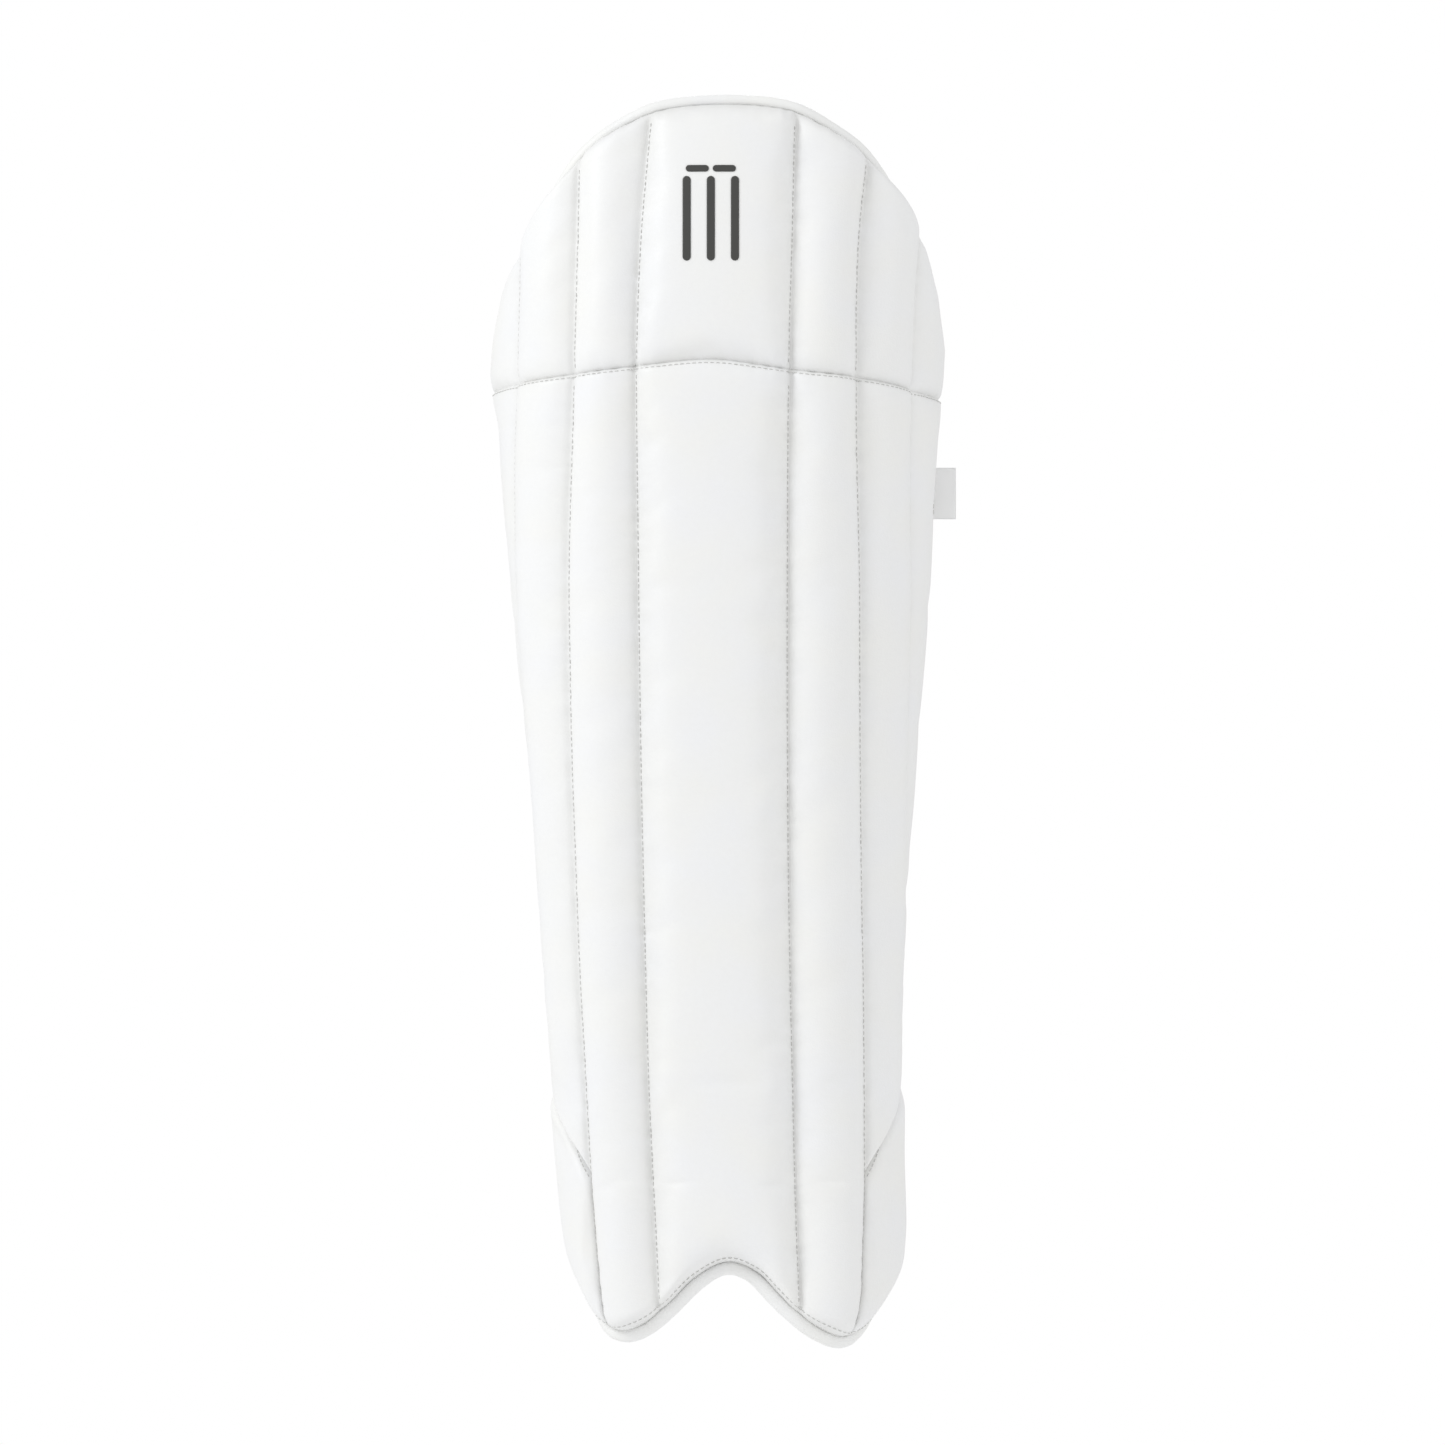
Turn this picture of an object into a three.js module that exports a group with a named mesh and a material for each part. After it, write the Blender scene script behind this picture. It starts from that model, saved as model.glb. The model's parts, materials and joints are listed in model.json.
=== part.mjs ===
// A wicket keeper's leg pad for the left leg, in millimetres. +Z runs up the leg, +X to the leg's outer
// side and -Y out of the front. Seven padded ribs stand side by side on a sheet that is bent round the shin,
// and a seam across the pad parts the shin section from the knee section, which folds back there when the
// keeper crouches.
//
// Every padded piece is placed on that bent sheet by three numbers:
//   t      across the pad: 0 at the inner wing's edge, 7 at the outer wing's edge, and one unit to each rib
//   z      height above the lowest point
//   depth  how far the place stands out of the sheet: forwards is positive, and towards the leg is negative
import * as THREE from 'three';

const { degToRad, lerp, clamp } = THREE.MathUtils;

// ---- Driving dimensions ----

const RIBS = 7;
const CENTRE_RIB = 3;
const RIB_NAMES = [
  'inner_wing', 'inner_side', 'inner_mid', 'centre', 'outer_mid', 'outer_side', 'outer_wing',
];
const RIB_WIDTHS = [55, 36, 34, 78, 39, 36, 55];
const RIB_HEIGHTS = [12, 15.5, 16.5, 17.5, 16.5, 15.5, 12];
const MID_TURN = 17; // degrees that a mid rib turns back from the front

const CLEARANCE = 0.5; // between neighbouring layers
const FACING = 1.2;
const LINING = 2;
const BACKING = 3;
const FOAM = 5;
const ANKLE_FOAM = 3.5;
const CANE = 4;
const CANE_PITCH = 6;
const GROOVE_DEPTH = BACKING + 2 * CLEARANCE + FACING; // the facing's face where it is sewn down
const RIB_ROUND = 13; // radius of a rib's long edges
const END_ROUND = 9; // radius of a rib's ends
const FOAM_INSET = 5;
const WING_FOAM_INSET = 8;
const CANE_INSET = 10;
const CANE_WEB = 0.5; // how thick a cane mat is between its rods, as a share of a rod
const ANKLE_HEIGHT = 13; // how far an ankle panel's facing stands out

const KNEE_PIPING_RADIUS = 2.5;
const HEM_PIPING_RADIUS = 3.3;

const HINGE_Y = 14; // the knee section folds about a line along X at this depth and height
const HINGE_Z = 510;
const FOLD_BACK = 15;
const SEAM_GAP = 1.5;
const SHIN_FOLD_SHARE = 0.75; // the share of the folding wedge that is cut from the shin section

const STRAP_WIDTH = 38;
const STRAP = 2.2;
const PATCH = 1;
const STRAP_REACH = 52; // how far a strap's loop stands behind its two roots
const STRAP_LEVELS = { ankle: 147, calf: 281, knee: 443 };
const ROOT_BEYOND = 0.18; // how far beyond a wing's edge a strap's root is, as a share of the wing's width

// ---- Curves that the pad's lines follow ----

// A smooth curve through [place, value] points, level beyond both ends.
function through(...points) {
  const last = points.length - 1;
  const slope = (i) => {
    const [before, after] = [points[Math.max(i - 1, 0)], points[Math.min(i + 1, last)]];
    return (after[1] - before[1]) / (after[0] - before[0]);
  };
  return (place) => {
    const at = clamp(place, points[0][0], points[last][0]);
    let i = 0;
    while (i < last - 1 && points[i + 1][0] < at) i++;
    const [[from, low], [to, high]] = [points[i], points[i + 1]];
    const span = to - from;
    const s = (at - from) / span;
    const bend = (slope(i) * (1 - s) - slope(i + 1) * s) * span * s * (1 - s);
    return low + (high - low) * s * s * (3 - 2 * s) + bend;
  };
}

// The six grooves, from the inner wing's to the outer wing's: sideways place at each height.
const GROOVES = [
  through([0, -60], [40, -65], [110, -73.5], [200, -81.5], [284, -88.1], [388, -97.1], [456, -98.8],
    [500, -98], [577, -96.5]),
  through([0, -51.5], [40, -57.5], [128, -63.5], [232, -69], [388, -73.9], [503, -71.8], [622, -69.3]),
  through([0, -29.3], [128, -36.1], [284, -40.2], [400, -41.9], [510, -42.8], [576, -40.6], [650, -34]),
  through([0, 41], [128, 37.4], [284, 34.8], [510, 35.2], [580, 37.2], [650, 38.5]),
  through([0, 61], [30, 67.8], [128, 69.6], [284, 68], [388, 68.1], [503, 66.8], [570, 68.2], [622, 73]),
  through([0, 75], [40, 82], [108, 82], [200, 85.8], [284, 88], [388, 91.2], [456, 91.4], [500, 92.5],
    [583, 96.8]),
];
// How far the side ribs and the wings turn back from the front, in degrees, and how wide the wings are.
const SIDE_TURN = through([128, 62], [284, 57], [500, 42], [600, 38]);
const INNER_WING_TURN = through([128, 108], [284, 105], [388, 98], [450, 87.5], [477, 84.5], [500, 76],
  [524, 77], [560, 75]);
const OUTER_WING_TURN = through([128, 106], [232, 99], [284, 92.5], [326, 88.5], [388, 82.5], [420, 80.3],
  [470, 76.5], [497, 73.5], [560, 73]);
const WING_WIDTH = through([128, 52], [284, 55], [500, 58]);
// The front's outline in side view: it kicks forwards over the foot, and leans back above the knee seam.
const KICK = 12;
const KICK_BELOW = 140;
const LEAN_ABOVE = 500;
const LEAN = 0.0007;
function profile(z) {
  const lean = LEAN * Math.max(0, z - LEAN_ABOVE) ** 2;
  const kick = KICK * Math.max(0, 1 - z / KICK_BELOW) ** 2;
  return lean - kick;
}

// The edges of the sections: height at each place across the pad.
const SEAM = through([0, 496.6], [1, 500.8], [2, 505.4], [3, 509.6], [3.5, 512.7], [4, 508], [5, 503.9],
  [6, 497.6], [7, 493]);
const DOME = through([0, 510], [0.5, 546], [1, 573], [2, 618], [3, 641], [3.5, 645], [4, 641.5], [5, 619],
  [6, 583], [6.5, 549], [7, 508]);
const HEM = through([0, 118], [1, 43], [1.5, 21.5], [2, 12], [2.4, 11], [3, 21.5], [3.25, 37.5], [3.5, 46.5],
  [3.72, 40.5], [3.84, 31], [4, 20], [4.5, 10.5], [5, 7.5], [5.5, 16], [6, 38.5], [7, 112]);
// The slanting seam above the ankle panels, which cover a wing and the side rib next to it.
const ANKLE_SEAM_LOW = 88;
const ANKLE_SEAM_SLOPE = 43;
const ANKLE_RIBS = 2;
const isWing = (rib) => rib === 0 || rib === RIBS - 1;
const isAnkle = (t) => Math.min(t, RIBS - t) < ANKLE_RIBS;
const ankleSeam = (t) => ANKLE_SEAM_LOW + ANKLE_SEAM_SLOPE * (ANKLE_RIBS - Math.min(t, RIBS - t));

// ---- The bent sheet ----

// The sheet's eight corners at a height, each with the step in plan that a unit of depth makes there.
const plans = new Map();
function plan(z) {
  if (plans.has(z)) return plans.get(z);
  const grooves = GROOVES.map((groove) => groove(z));
  const side = (core, mid, outer, wingTurn) => {
    const away = Math.sign(outer - core);
    const y = [profile(z)];
    y.push(y[0] + Math.abs(mid - core) * Math.tan(degToRad(MID_TURN)));
    y.push(y[1] + Math.abs(outer - mid) * Math.tan(degToRad(SIDE_TURN(z))));
    const wing = new THREE.Vector2(away * Math.cos(degToRad(wingTurn)), Math.sin(degToRad(wingTurn)));
    const corners = [core, mid, outer].map((x, i) => new THREE.Vector2(x, y[i]));
    return [...corners, wing.multiplyScalar(WING_WIDTH(z)).add(corners[2])];
  };
  const inner = side(grooves[2], grooves[1], grooves[0], INNER_WING_TURN(z)).reverse();
  const outer = side(grooves[3], grooves[4], grooves[5], OUTER_WING_TURN(z));
  const corners = [...inner, ...outer];
  const normals = corners.slice(1).map((corner, i) => {
    const along = corner.clone().sub(corners[i]).normalize();
    return new THREE.Vector2(along.y, -along.x);
  });
  const steps = corners.map((_, i) => {
    const [before, after] = [normals[Math.max(i - 1, 0)], normals[Math.min(i, RIBS - 1)]];
    return before.clone().add(after).divideScalar(1 + before.dot(after));
  });
  plans.set(z, { corners, steps });
  return plans.get(z);
}

function place(t, z, depth) {
  const { corners, steps } = plan(z);
  const rib = clamp(Math.floor(t), 0, RIBS - 1);
  const [from, to] = [rib, rib + 1].map((i) => corners[i].clone().addScaledVector(steps[i], depth));
  const at = from.lerp(to, t - rib);
  return new THREE.Vector3(at.x, at.y, z);
}

const ribWidth = (rib, z) => plan(z).corners[rib].distanceTo(plan(z).corners[rib + 1]);

// The wedge that is left open behind the hinge line, so that the knee section can fold back.
function wedge(t) {
  const behind = Math.max(0, place(t, SEAM(t), 0).y - HINGE_Y);
  return behind * Math.tan(degToRad(FOLD_BACK + 1));
}
const shinTop = (t) => SEAM(t) - SEAM_GAP - wedge(t) * SHIN_FOLD_SHARE;
const kneeBase = (t) => SEAM(t) + SEAM_GAP + wedge(t) * (1 - SHIN_FOLD_SHARE);
const shinBottom = (t) => (isAnkle(t) ? ankleSeam(t) + SEAM_GAP : HEM(t));
const inset = (edge, by) => (t) => edge(t) + by;

// ---- Solids ----

// A closed slab on the sheet: columns are places across the pad, rows give the height of each row of corners
// at a place across, from low to high, and inner and outer are the depths of its two faces.
function slab({ columns, rows, inner, outer }) {
  const box = new THREE.BoxGeometry(1, 1, 1, columns.length - 1, rows.length - 1, 1);
  const corners = box.getAttribute('position');
  const pick = (list, share) => list[Math.round((share + 0.5) * (list.length - 1))];
  for (let i = 0; i < corners.count; i++) {
    const t = pick(columns, corners.getX(i));
    const z = pick(rows, corners.getY(i))(t);
    const depth = (corners.getZ(i) > 0 ? outer : inner)(t, z);
    corners.setXYZ(i, ...place(t, z, depth));
  }
  return box;
}

const spread = (from, to, count) => Array.from({ length: count + 1 }, (_, i) => lerp(from, to, i / count));

// Rows of corners between two edges: some close to each edge, at the given distances in from it, and the
// rest between those. The shin's rows stand at the same levels in every layer.
const LEVELS = [190, 235, 280, 325, 375, 425, 465];
const SHORT = 40; // a piece that is less than this tall takes its rows closer to its edges
const nearEnds = (low, high, distances) => {
  const scale = (t) => Math.min(1, (high(t) - low(t)) / SHORT);
  const above = distances.map((by) => (t) => low(t) + by * scale(t));
  const below = distances.map((by) => (t) => high(t) - by * scale(t)).reverse();
  return [above, below];
};
function shinRows(low, high, distances = [0]) {
  const [above, below] = nearEnds(low, high, distances);
  const start = above[above.length - 1];
  const rising = [1 / 3, 2 / 3].map((share) => (t) => lerp(start(t), LEVELS[0], share));
  return [...above, ...rising, ...LEVELS.map((level) => () => level), ...below];
}
function evenRows(low, high, distances = [0], count = 4) {
  const [above, below] = nearEnds(low, high, distances);
  const [start, end] = [above[above.length - 1], below[0]];
  const between = spread(0, 1, count).slice(1, -1).map((share) => (t) => lerp(start(t), end(t), share));
  return [...above, ...between, ...below];
}
const ROUNDED_ENDS = [0, 0.2, 1].map((share) => share * END_ROUND);

// Places across the pad for a plain sheet: close together round the instep notch.
const NOTCH_COLUMNS = spread(CENTRE_RIB, CENTRE_RIB + 1, 8);
const WING_COLUMNS = [...spread(0, 1, 4), ...spread(RIBS - 1, RIBS, 4)];
const HALF_RIBS = spread(0, RIBS, 2 * RIBS);
const inOrder = (columns) => [...new Set(columns)].sort((a, b) => a - b);
const SHEET_COLUMNS = inOrder([...HALF_RIBS, ...WING_COLUMNS, ...NOTCH_COLUMNS]);

// The height of a quarter circle, as a share of its radius, at a share of the way in from its foot.
const quarterRound = (share) => Math.sqrt(1 - (1 - clamp(share, 0, 1)) ** 2);

// How full a pillow is at a place on the sheet, from 0 along its edges to 1 beyond its rounded border.
function fullness(t, z, from, to, low, high) {
  const wide = (edge) => Math.abs(t - edge) * ribWidth(clamp(Math.floor(t), 0, RIBS - 1), z);
  const across = Math.min(wide(from), wide(to)) / RIB_ROUND;
  const along = Math.min(z - low(t), high(t) - z) / END_ROUND;
  return quarterRound(across) * quarterRound(along);
}

// Columns across one rib, close together where its edges are round.
function ribColumns(rib) {
  const round = RIB_ROUND / RIB_WIDTHS[rib];
  const shares = isWing(rib) ? [0, 0.3, 1] : [0, 0.15, 0.5, 1];
  const border = shares.map((share) => share * round);
  return [...border, ...border.map((share) => 1 - share)].map((share) => rib + share);
}

// The facing over a run of ribs: a thin skin, sewn down along every groove.
function facing(columns, rows, low, high, height, edges) {
  const outer = (t, z) => {
    const rib = clamp(Math.floor(t), 0, RIBS - 1);
    const [from, to] = edges ?? [rib, rib + 1];
    return GROOVE_DEPTH + (height(rib) - GROOVE_DEPTH) * fullness(t, z, from, to, low, high);
  };
  return slab({ columns, rows, outer, inner: (t, z) => outer(t, z) - FACING });
}

// A slab in one rib, clear of its grooves and its ends.
function ribSlab(rib, border, makeRows, low, high, inner, outer, count = 2) {
  const margin = border / RIB_WIDTHS[rib];
  const columns = spread(rib + margin, rib + 1 - margin, count);
  return slab({ columns, rows: makeRows(inset(low, border), inset(high, -border)), inner, outer });
}

const FOAM_DEPTH = BACKING + 2 * CLEARANCE;
const CANE_DEPTH = FOAM_DEPTH + FOAM + CLEARANCE;
function foam(rib, makeRows, low, high) {
  const border = isWing(rib) ? WING_FOAM_INSET : FOAM_INSET;
  const count = rib === CENTRE_RIB ? 8 : 3;
  return ribSlab(rib, border, makeRows, low, high, () => FOAM_DEPTH, () => FOAM_DEPTH + FOAM, count);
}

// Cane rods laid side by side and glued to one mat: each rod is one wave of its front face.
function caneMat(rib, makeRows, low, high) {
  const rods = Math.round((RIB_WIDTHS[rib] - 2 * CANE_INSET) / CANE_PITCH);
  const margin = CANE_INSET / RIB_WIDTHS[rib];
  const wave = (t) => Math.abs(Math.sin(Math.PI * rods * (t - rib - margin) / (1 - 2 * margin)));
  const front = (t) => CANE_DEPTH + CANE * lerp(CANE_WEB, 1, wave(t));
  return ribSlab(rib, CANE_INSET, makeRows, low, high, () => CANE_DEPTH, front, 2 * rods);
}

// A flat sheet that covers a section between two places across the pad.
function sheet(makeRows, low, high, inner, outer, from = 0, to = RIBS) {
  const columns = [from, ...SHEET_COLUMNS.filter((t) => t > from && t < to), to];
  return slab({ columns, rows: makeRows(low, high), inner: () => inner, outer: () => outer });
}

// A stuffed roll on the leg's side of the lining.
const ROLL_DEPTH = -CLEARANCE - LINING - 1;
const ROLL_EDGE = 3;
const ROLL_ROW = 55;
function bolster(columns, low, high, height) {
  const [from, to] = [columns[0], columns[columns.length - 1]];
  const [bottom, top] = [() => low, () => high];
  const rise = (t, z) => ROLL_EDGE + (height - ROLL_EDGE) * fullness(t, z, from, to, bottom, top);
  const rows = evenRows(bottom, top, [0, END_ROUND / 2, END_ROUND], Math.ceil((high - low) / ROLL_ROW));
  return slab({ columns, rows, inner: (t, z) => ROLL_DEPTH - rise(t, z), outer: () => ROLL_DEPTH });
}
// Columns for a roll that fills one rib.
const rollColumns = (rib) => [0.05, 0.14, 0.35, 0.65, 0.86, 0.95].map((share) => rib + share);

// A round cord along an edge of the sheet, given as [t, z] places that run with the pad on their left.
const EDGE_DEPTH = (GROOVE_DEPTH - LINING - CLEARANCE) / 2;
const CORD_SIDES = 6;
const CORD_GAP = 1.2;
function piping(edge, radius, count) {
  const onEdge = edge.map(([t, z]) => place(t, z, EDGE_DEPTH));
  const middle = onEdge.map((point, i) => {
    const along = onEdge[Math.min(i + 1, edge.length - 1)].clone().sub(onEdge[Math.max(i - 1, 0)]);
    const front = place(...edge[i], EDGE_DEPTH + 1).sub(point);
    const away = along.cross(front).normalize();
    return point.clone().addScaledVector(away, radius + CORD_GAP);
  });
  const round = new THREE.Shape(spread(0, 2 * Math.PI, CORD_SIDES).slice(1).map(
    (angle) => new THREE.Vector2(Math.cos(angle), Math.sin(angle)).multiplyScalar(radius)));
  const extrudePath = new THREE.CatmullRomCurve3(middle);
  return new THREE.ExtrudeGeometry(round, { steps: count, bevelEnabled: false, extrudePath });
}

// The layers of a closed strap, from outside inwards: where each one's faces stand from the strap's line.
const LAYERS = { strap: STRAP, hook: PATCH, loop: PATCH, tab: 2 };
const layerFaces = {};
let outside = STRAP / 2;
for (const [name, thickness] of Object.entries(LAYERS)) {
  layerFaces[name] = [outside - thickness, outside];
  outside -= thickness + CLEARANCE;
}

// A strap's line in plan at a height: it runs from inside the outer wing, round behind the leg on half an
// ellipse, to inside the inner wing. Bearings are degrees from 0 at the outer root to 180 at the inner root.
const SEWN_GAP = 0.8;
const BEARING_STEP = 11;
const inPlan = (t, z, depth) => {
  const { x, y } = place(t, z, depth);
  return new THREE.Vector2(x, y);
};
const sewnDepth = (layer) => -CLEARANCE - LINING - SEWN_GAP - layerFaces[layer][1];
function loopLine(from, to) {
  const count = Math.max(2, Math.round((to - from) / BEARING_STEP));
  const bearings = spread(degToRad(from), degToRad(to), count);
  return (z) => {
    const outerRoot = inPlan(RIBS + ROOT_BEYOND, z, sewnDepth('tab'));
    const innerRoot = inPlan(-ROOT_BEYOND, z, sewnDepth('strap'));
    const middle = outerRoot.clone().lerp(innerRoot, 0.5);
    const reach = outerRoot.clone().sub(middle);
    return bearings.map((bearing) => {
      const behind = new THREE.Vector2(0, STRAP_REACH * Math.sin(bearing));
      return middle.clone().addScaledVector(reach, Math.cos(bearing)).add(behind);
    });
  };
}
const sewnLine = (places, layer) => (z) => places.map((t) => inPlan(t, z, sewnDepth(layer)));

// A ribbon that stands on its edge along a line in plan, with its faces inner and outer from that line. The
// line runs anticlockwise, so that outer is on its right.
function ribbon(line, [inner, outer], level, width = STRAP_WIDTH) {
  const last = line(level).length - 1;
  const beside = (i, z, distance) => {
    const points = line(z);
    const along = points[Math.min(i + 1, last)].clone().sub(points[Math.max(i - 1, 0)]).normalize();
    return new THREE.Vector2(along.y, -along.x).multiplyScalar(distance).add(points[i]);
  };
  const box = new THREE.BoxGeometry(1, 1, 1, last, 1, 1);
  const corners = box.getAttribute('position');
  for (let i = 0; i < corners.count; i++) {
    const z = level + corners.getY(i) * width;
    const at = beside(Math.round((corners.getX(i) + 0.5) * last), z, corners.getZ(i) > 0 ? outer : inner);
    corners.setXYZ(i, at.x, at.y, z);
  }
  return box;
}

// ---- Materials ----

const finish = (color, roughness) => new THREE.MeshStandardMaterial({ color, roughness, metalness: 0 });
const WHITE_LEATHER = finish(0xf1f1ee, 0.5);
const LINING_CLOTH = finish(0xe6e6e2, 0.9);
const FOAM_SHEET = finish(0xd8dadb, 0.95);
const RATTAN = finish(0xcaa66a, 0.7);
const BOLSTER_CLOTH = finish(0xeeede8, 0.95);
const WEBBING = finish(0xe9e9e6, 0.85);
const HOOK_AND_LOOP = finish(0xdcdcda, 1);
const LABEL = finish(0xf6f6f4, 0.6);

// ---- The pad ----

const pad = new THREE.Group();
const add = (name, geometry, material) => {
  const mesh = new THREE.Mesh(geometry, material);
  mesh.name = name;
  pad.add(mesh);
};

const FACING_COLUMNS = inOrder([
  ...RIB_NAMES.flatMap((_, rib) => ribColumns(rib)), ...NOTCH_COLUMNS.slice(2, -2),
]);
const CLEAR_OF_EDGE = 0.04;
const SEAM_STEP = 0.02; // the shin facing's edge steps up to the ankle seam within this share of a rib
const SHIN_ROLL = { low: 70, high: 425, height: 20 };
const LOWER_KNEE_ROLL = { low: 440, high: 484, height: 16 };
const GUARD = { from: 2.5, to: 4.5, low: 1, high: 24 }; // heights are above the hem
const EDGE_POINTS = 8; // points of an edge to each rib

function addShin() {
  const columns = inOrder([...FACING_COLUMNS, ANKLE_RIBS - SEAM_STEP, RIBS - ANKLE_RIBS + SEAM_STEP]);
  const rows = shinRows(shinBottom, shinTop, ROUNDED_ENDS);
  const height = (rib) => RIB_HEIGHTS[rib];
  add('shin_facing', facing(columns, rows, shinBottom, shinTop, height), WHITE_LEATHER);
  const [low, high] = [inset(HEM, 2), inset(shinTop, -2)];
  const backing = sheet(shinRows, low, high, CLEARANCE, BACKING, CLEAR_OF_EDGE, RIBS - CLEAR_OF_EDGE);
  add('shin_backing', backing, FOAM_SHEET);
  add('shin_lining', sheet(shinRows, HEM, shinTop, -CLEARANCE - LINING, -CLEARANCE), LINING_CLOTH);
  RIB_NAMES.forEach((name, rib) => {
    add(`${name}_foam`, foam(rib, shinRows, shinBottom, shinTop), FOAM_SHEET);
  });
  RIB_NAMES.forEach((name, rib) => {
    if (!isWing(rib)) add(`${name}_canes`, caneMat(rib, shinRows, shinBottom, shinTop), RATTAN);
  });

  const guardDepth = -CLEARANCE - LINING - CLEARANCE;
  const [guardLow, guardHigh] = [inset(HEM, GUARD.low), inset(HEM, GUARD.high)];
  const guard = sheet(evenRows, guardLow, guardHigh, guardDepth - FACING, guardDepth, GUARD.from, GUARD.to);
  add('instep_guard', guard, WHITE_LEATHER);
  const upright = (rib) => bolster(rollColumns(rib), SHIN_ROLL.low, SHIN_ROLL.high, SHIN_ROLL.height);
  add('inner_shin_bolster', upright(CENTRE_RIB - 1), BOLSTER_CLOTH);
  add('outer_shin_bolster', upright(CENTRE_RIB + 1), BOLSTER_CLOTH);
  const across = [1.4, 1.5, 1.75, 2, 3, 4, 5, 5.25, 5.5, 5.6];
  const roll = bolster(across, LOWER_KNEE_ROLL.low, LOWER_KNEE_ROLL.high, LOWER_KNEE_ROLL.height);
  add('lower_knee_bolster', roll, BOLSTER_CLOTH);

  const corner = 2; // the piping turns from a wing's edge to the hem within this distance
  const sidePoints = 12;
  const down = spread(shinTop(0), HEM(0) + corner, sidePoints).map((z) => [0, z]);
  const inside = spread(0, RIBS, RIBS * EDGE_POINTS).slice(1, -1);
  const bottom = [CLEAR_OF_EDGE, ...inside, RIBS - CLEAR_OF_EDGE].map((t) => [t, HEM(t)]);
  const up = spread(HEM(RIBS) + corner, shinTop(RIBS), sidePoints).map((z) => [RIBS, z]);
  const steps = 100;
  add('hem_piping', piping([...down, ...bottom, ...up], HEM_PIPING_RADIUS, steps), WHITE_LEATHER);
}

// An ankle panel is one smooth pillow over two ribs, below the slanting seam.
function addAnkle(side, from, to, bend) {
  const border = [0, 0.03, 0.11, 0.25];
  const opposite = border.map((share) => 1 - share).reverse();
  const across = (share) => lerp(from, to, share);
  const columns = [...border.map(across), bend, ...opposite.map(across)];
  const high = (t) => ankleSeam(t) - SEAM_GAP;
  const rows = evenRows(HEM, high, ROUNDED_ENDS, 3);
  const pillow = facing(columns, rows, HEM, high, () => ANKLE_HEIGHT, [from, to]);
  add(`${side}_ankle_facing`, pillow, WHITE_LEATHER);
  const margin = 0.18;
  const foamInset = FOAM_INSET + 1;
  const padding = slab({
    columns: [from + margin, bend, to - margin],
    rows: evenRows(inset(HEM, foamInset), inset(high, -foamInset)),
    inner: () => FOAM_DEPTH,
    outer: () => FOAM_DEPTH + ANKLE_FOAM,
  });
  add(`${side}_ankle_foam`, padding, FOAM_SHEET);
}

const KNEE_BACKING_INSET = 0.15;
const KNEE_WING_FOAM = { from: 0.5, to: 0.86 }; // shares of a wing's width, from its edge
const CRADLE = { low: 545, high: 590, height: 20 };

function addKnee() {
  const rows = evenRows(kneeBase, DOME, ROUNDED_ENDS, 3);
  const height = (rib) => RIB_HEIGHTS[rib];
  add('knee_facing', facing(FACING_COLUMNS, rows, kneeBase, DOME, height), WHITE_LEATHER);
  const [low, high] = [inset(kneeBase, 1), inset(DOME, -2)];
  const [from, to] = [KNEE_BACKING_INSET, RIBS - KNEE_BACKING_INSET];
  add('knee_backing', sheet(evenRows, low, high, CLEARANCE, BACKING, from, to), FOAM_SHEET);
  add('knee_lining', sheet(evenRows, kneeBase, DOME, -CLEARANCE - LINING, -CLEARANCE), LINING_CLOTH);
  RIB_NAMES.forEach((name, rib) => {
    if (!isWing(rib)) add(`knee_${name}_foam`, foam(rib, evenRows, kneeBase, DOME), FOAM_SHEET);
  });
  const wing = (start, end) => slab({
    columns: spread(start, end, 2),
    rows: evenRows(inset(kneeBase, FOAM_INSET), inset(DOME, -FOAM_INSET - 2)),
    inner: () => FOAM_DEPTH,
    outer: () => FOAM_DEPTH + FOAM - 1,
  });
  add('knee_inner_wing_foam', wing(KNEE_WING_FOAM.from, KNEE_WING_FOAM.to), FOAM_SHEET);
  add('knee_outer_wing_foam', wing(RIBS - KNEE_WING_FOAM.to, RIBS - KNEE_WING_FOAM.from), FOAM_SHEET);
  [CENTRE_RIB - 1, CENTRE_RIB, CENTRE_RIB + 1].forEach((rib) => {
    add(`knee_${RIB_NAMES[rib]}_canes`, caneMat(rib, evenRows, kneeBase, DOME), RATTAN);
  });
  const across = [1.6, 1.7, 2, 3, 4, 5, 5.3, 5.4];
  add('knee_cradle', bolster(across, CRADLE.low, CRADLE.high, CRADLE.height), BOLSTER_CLOTH);
  const over = spread(RIBS, 0, RIBS * EDGE_POINTS).map((t) => [t, DOME(t)]);
  add('knee_piping', piping(over, KNEE_PIPING_RADIUS, over.length - 1), WHITE_LEATHER);
}

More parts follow.
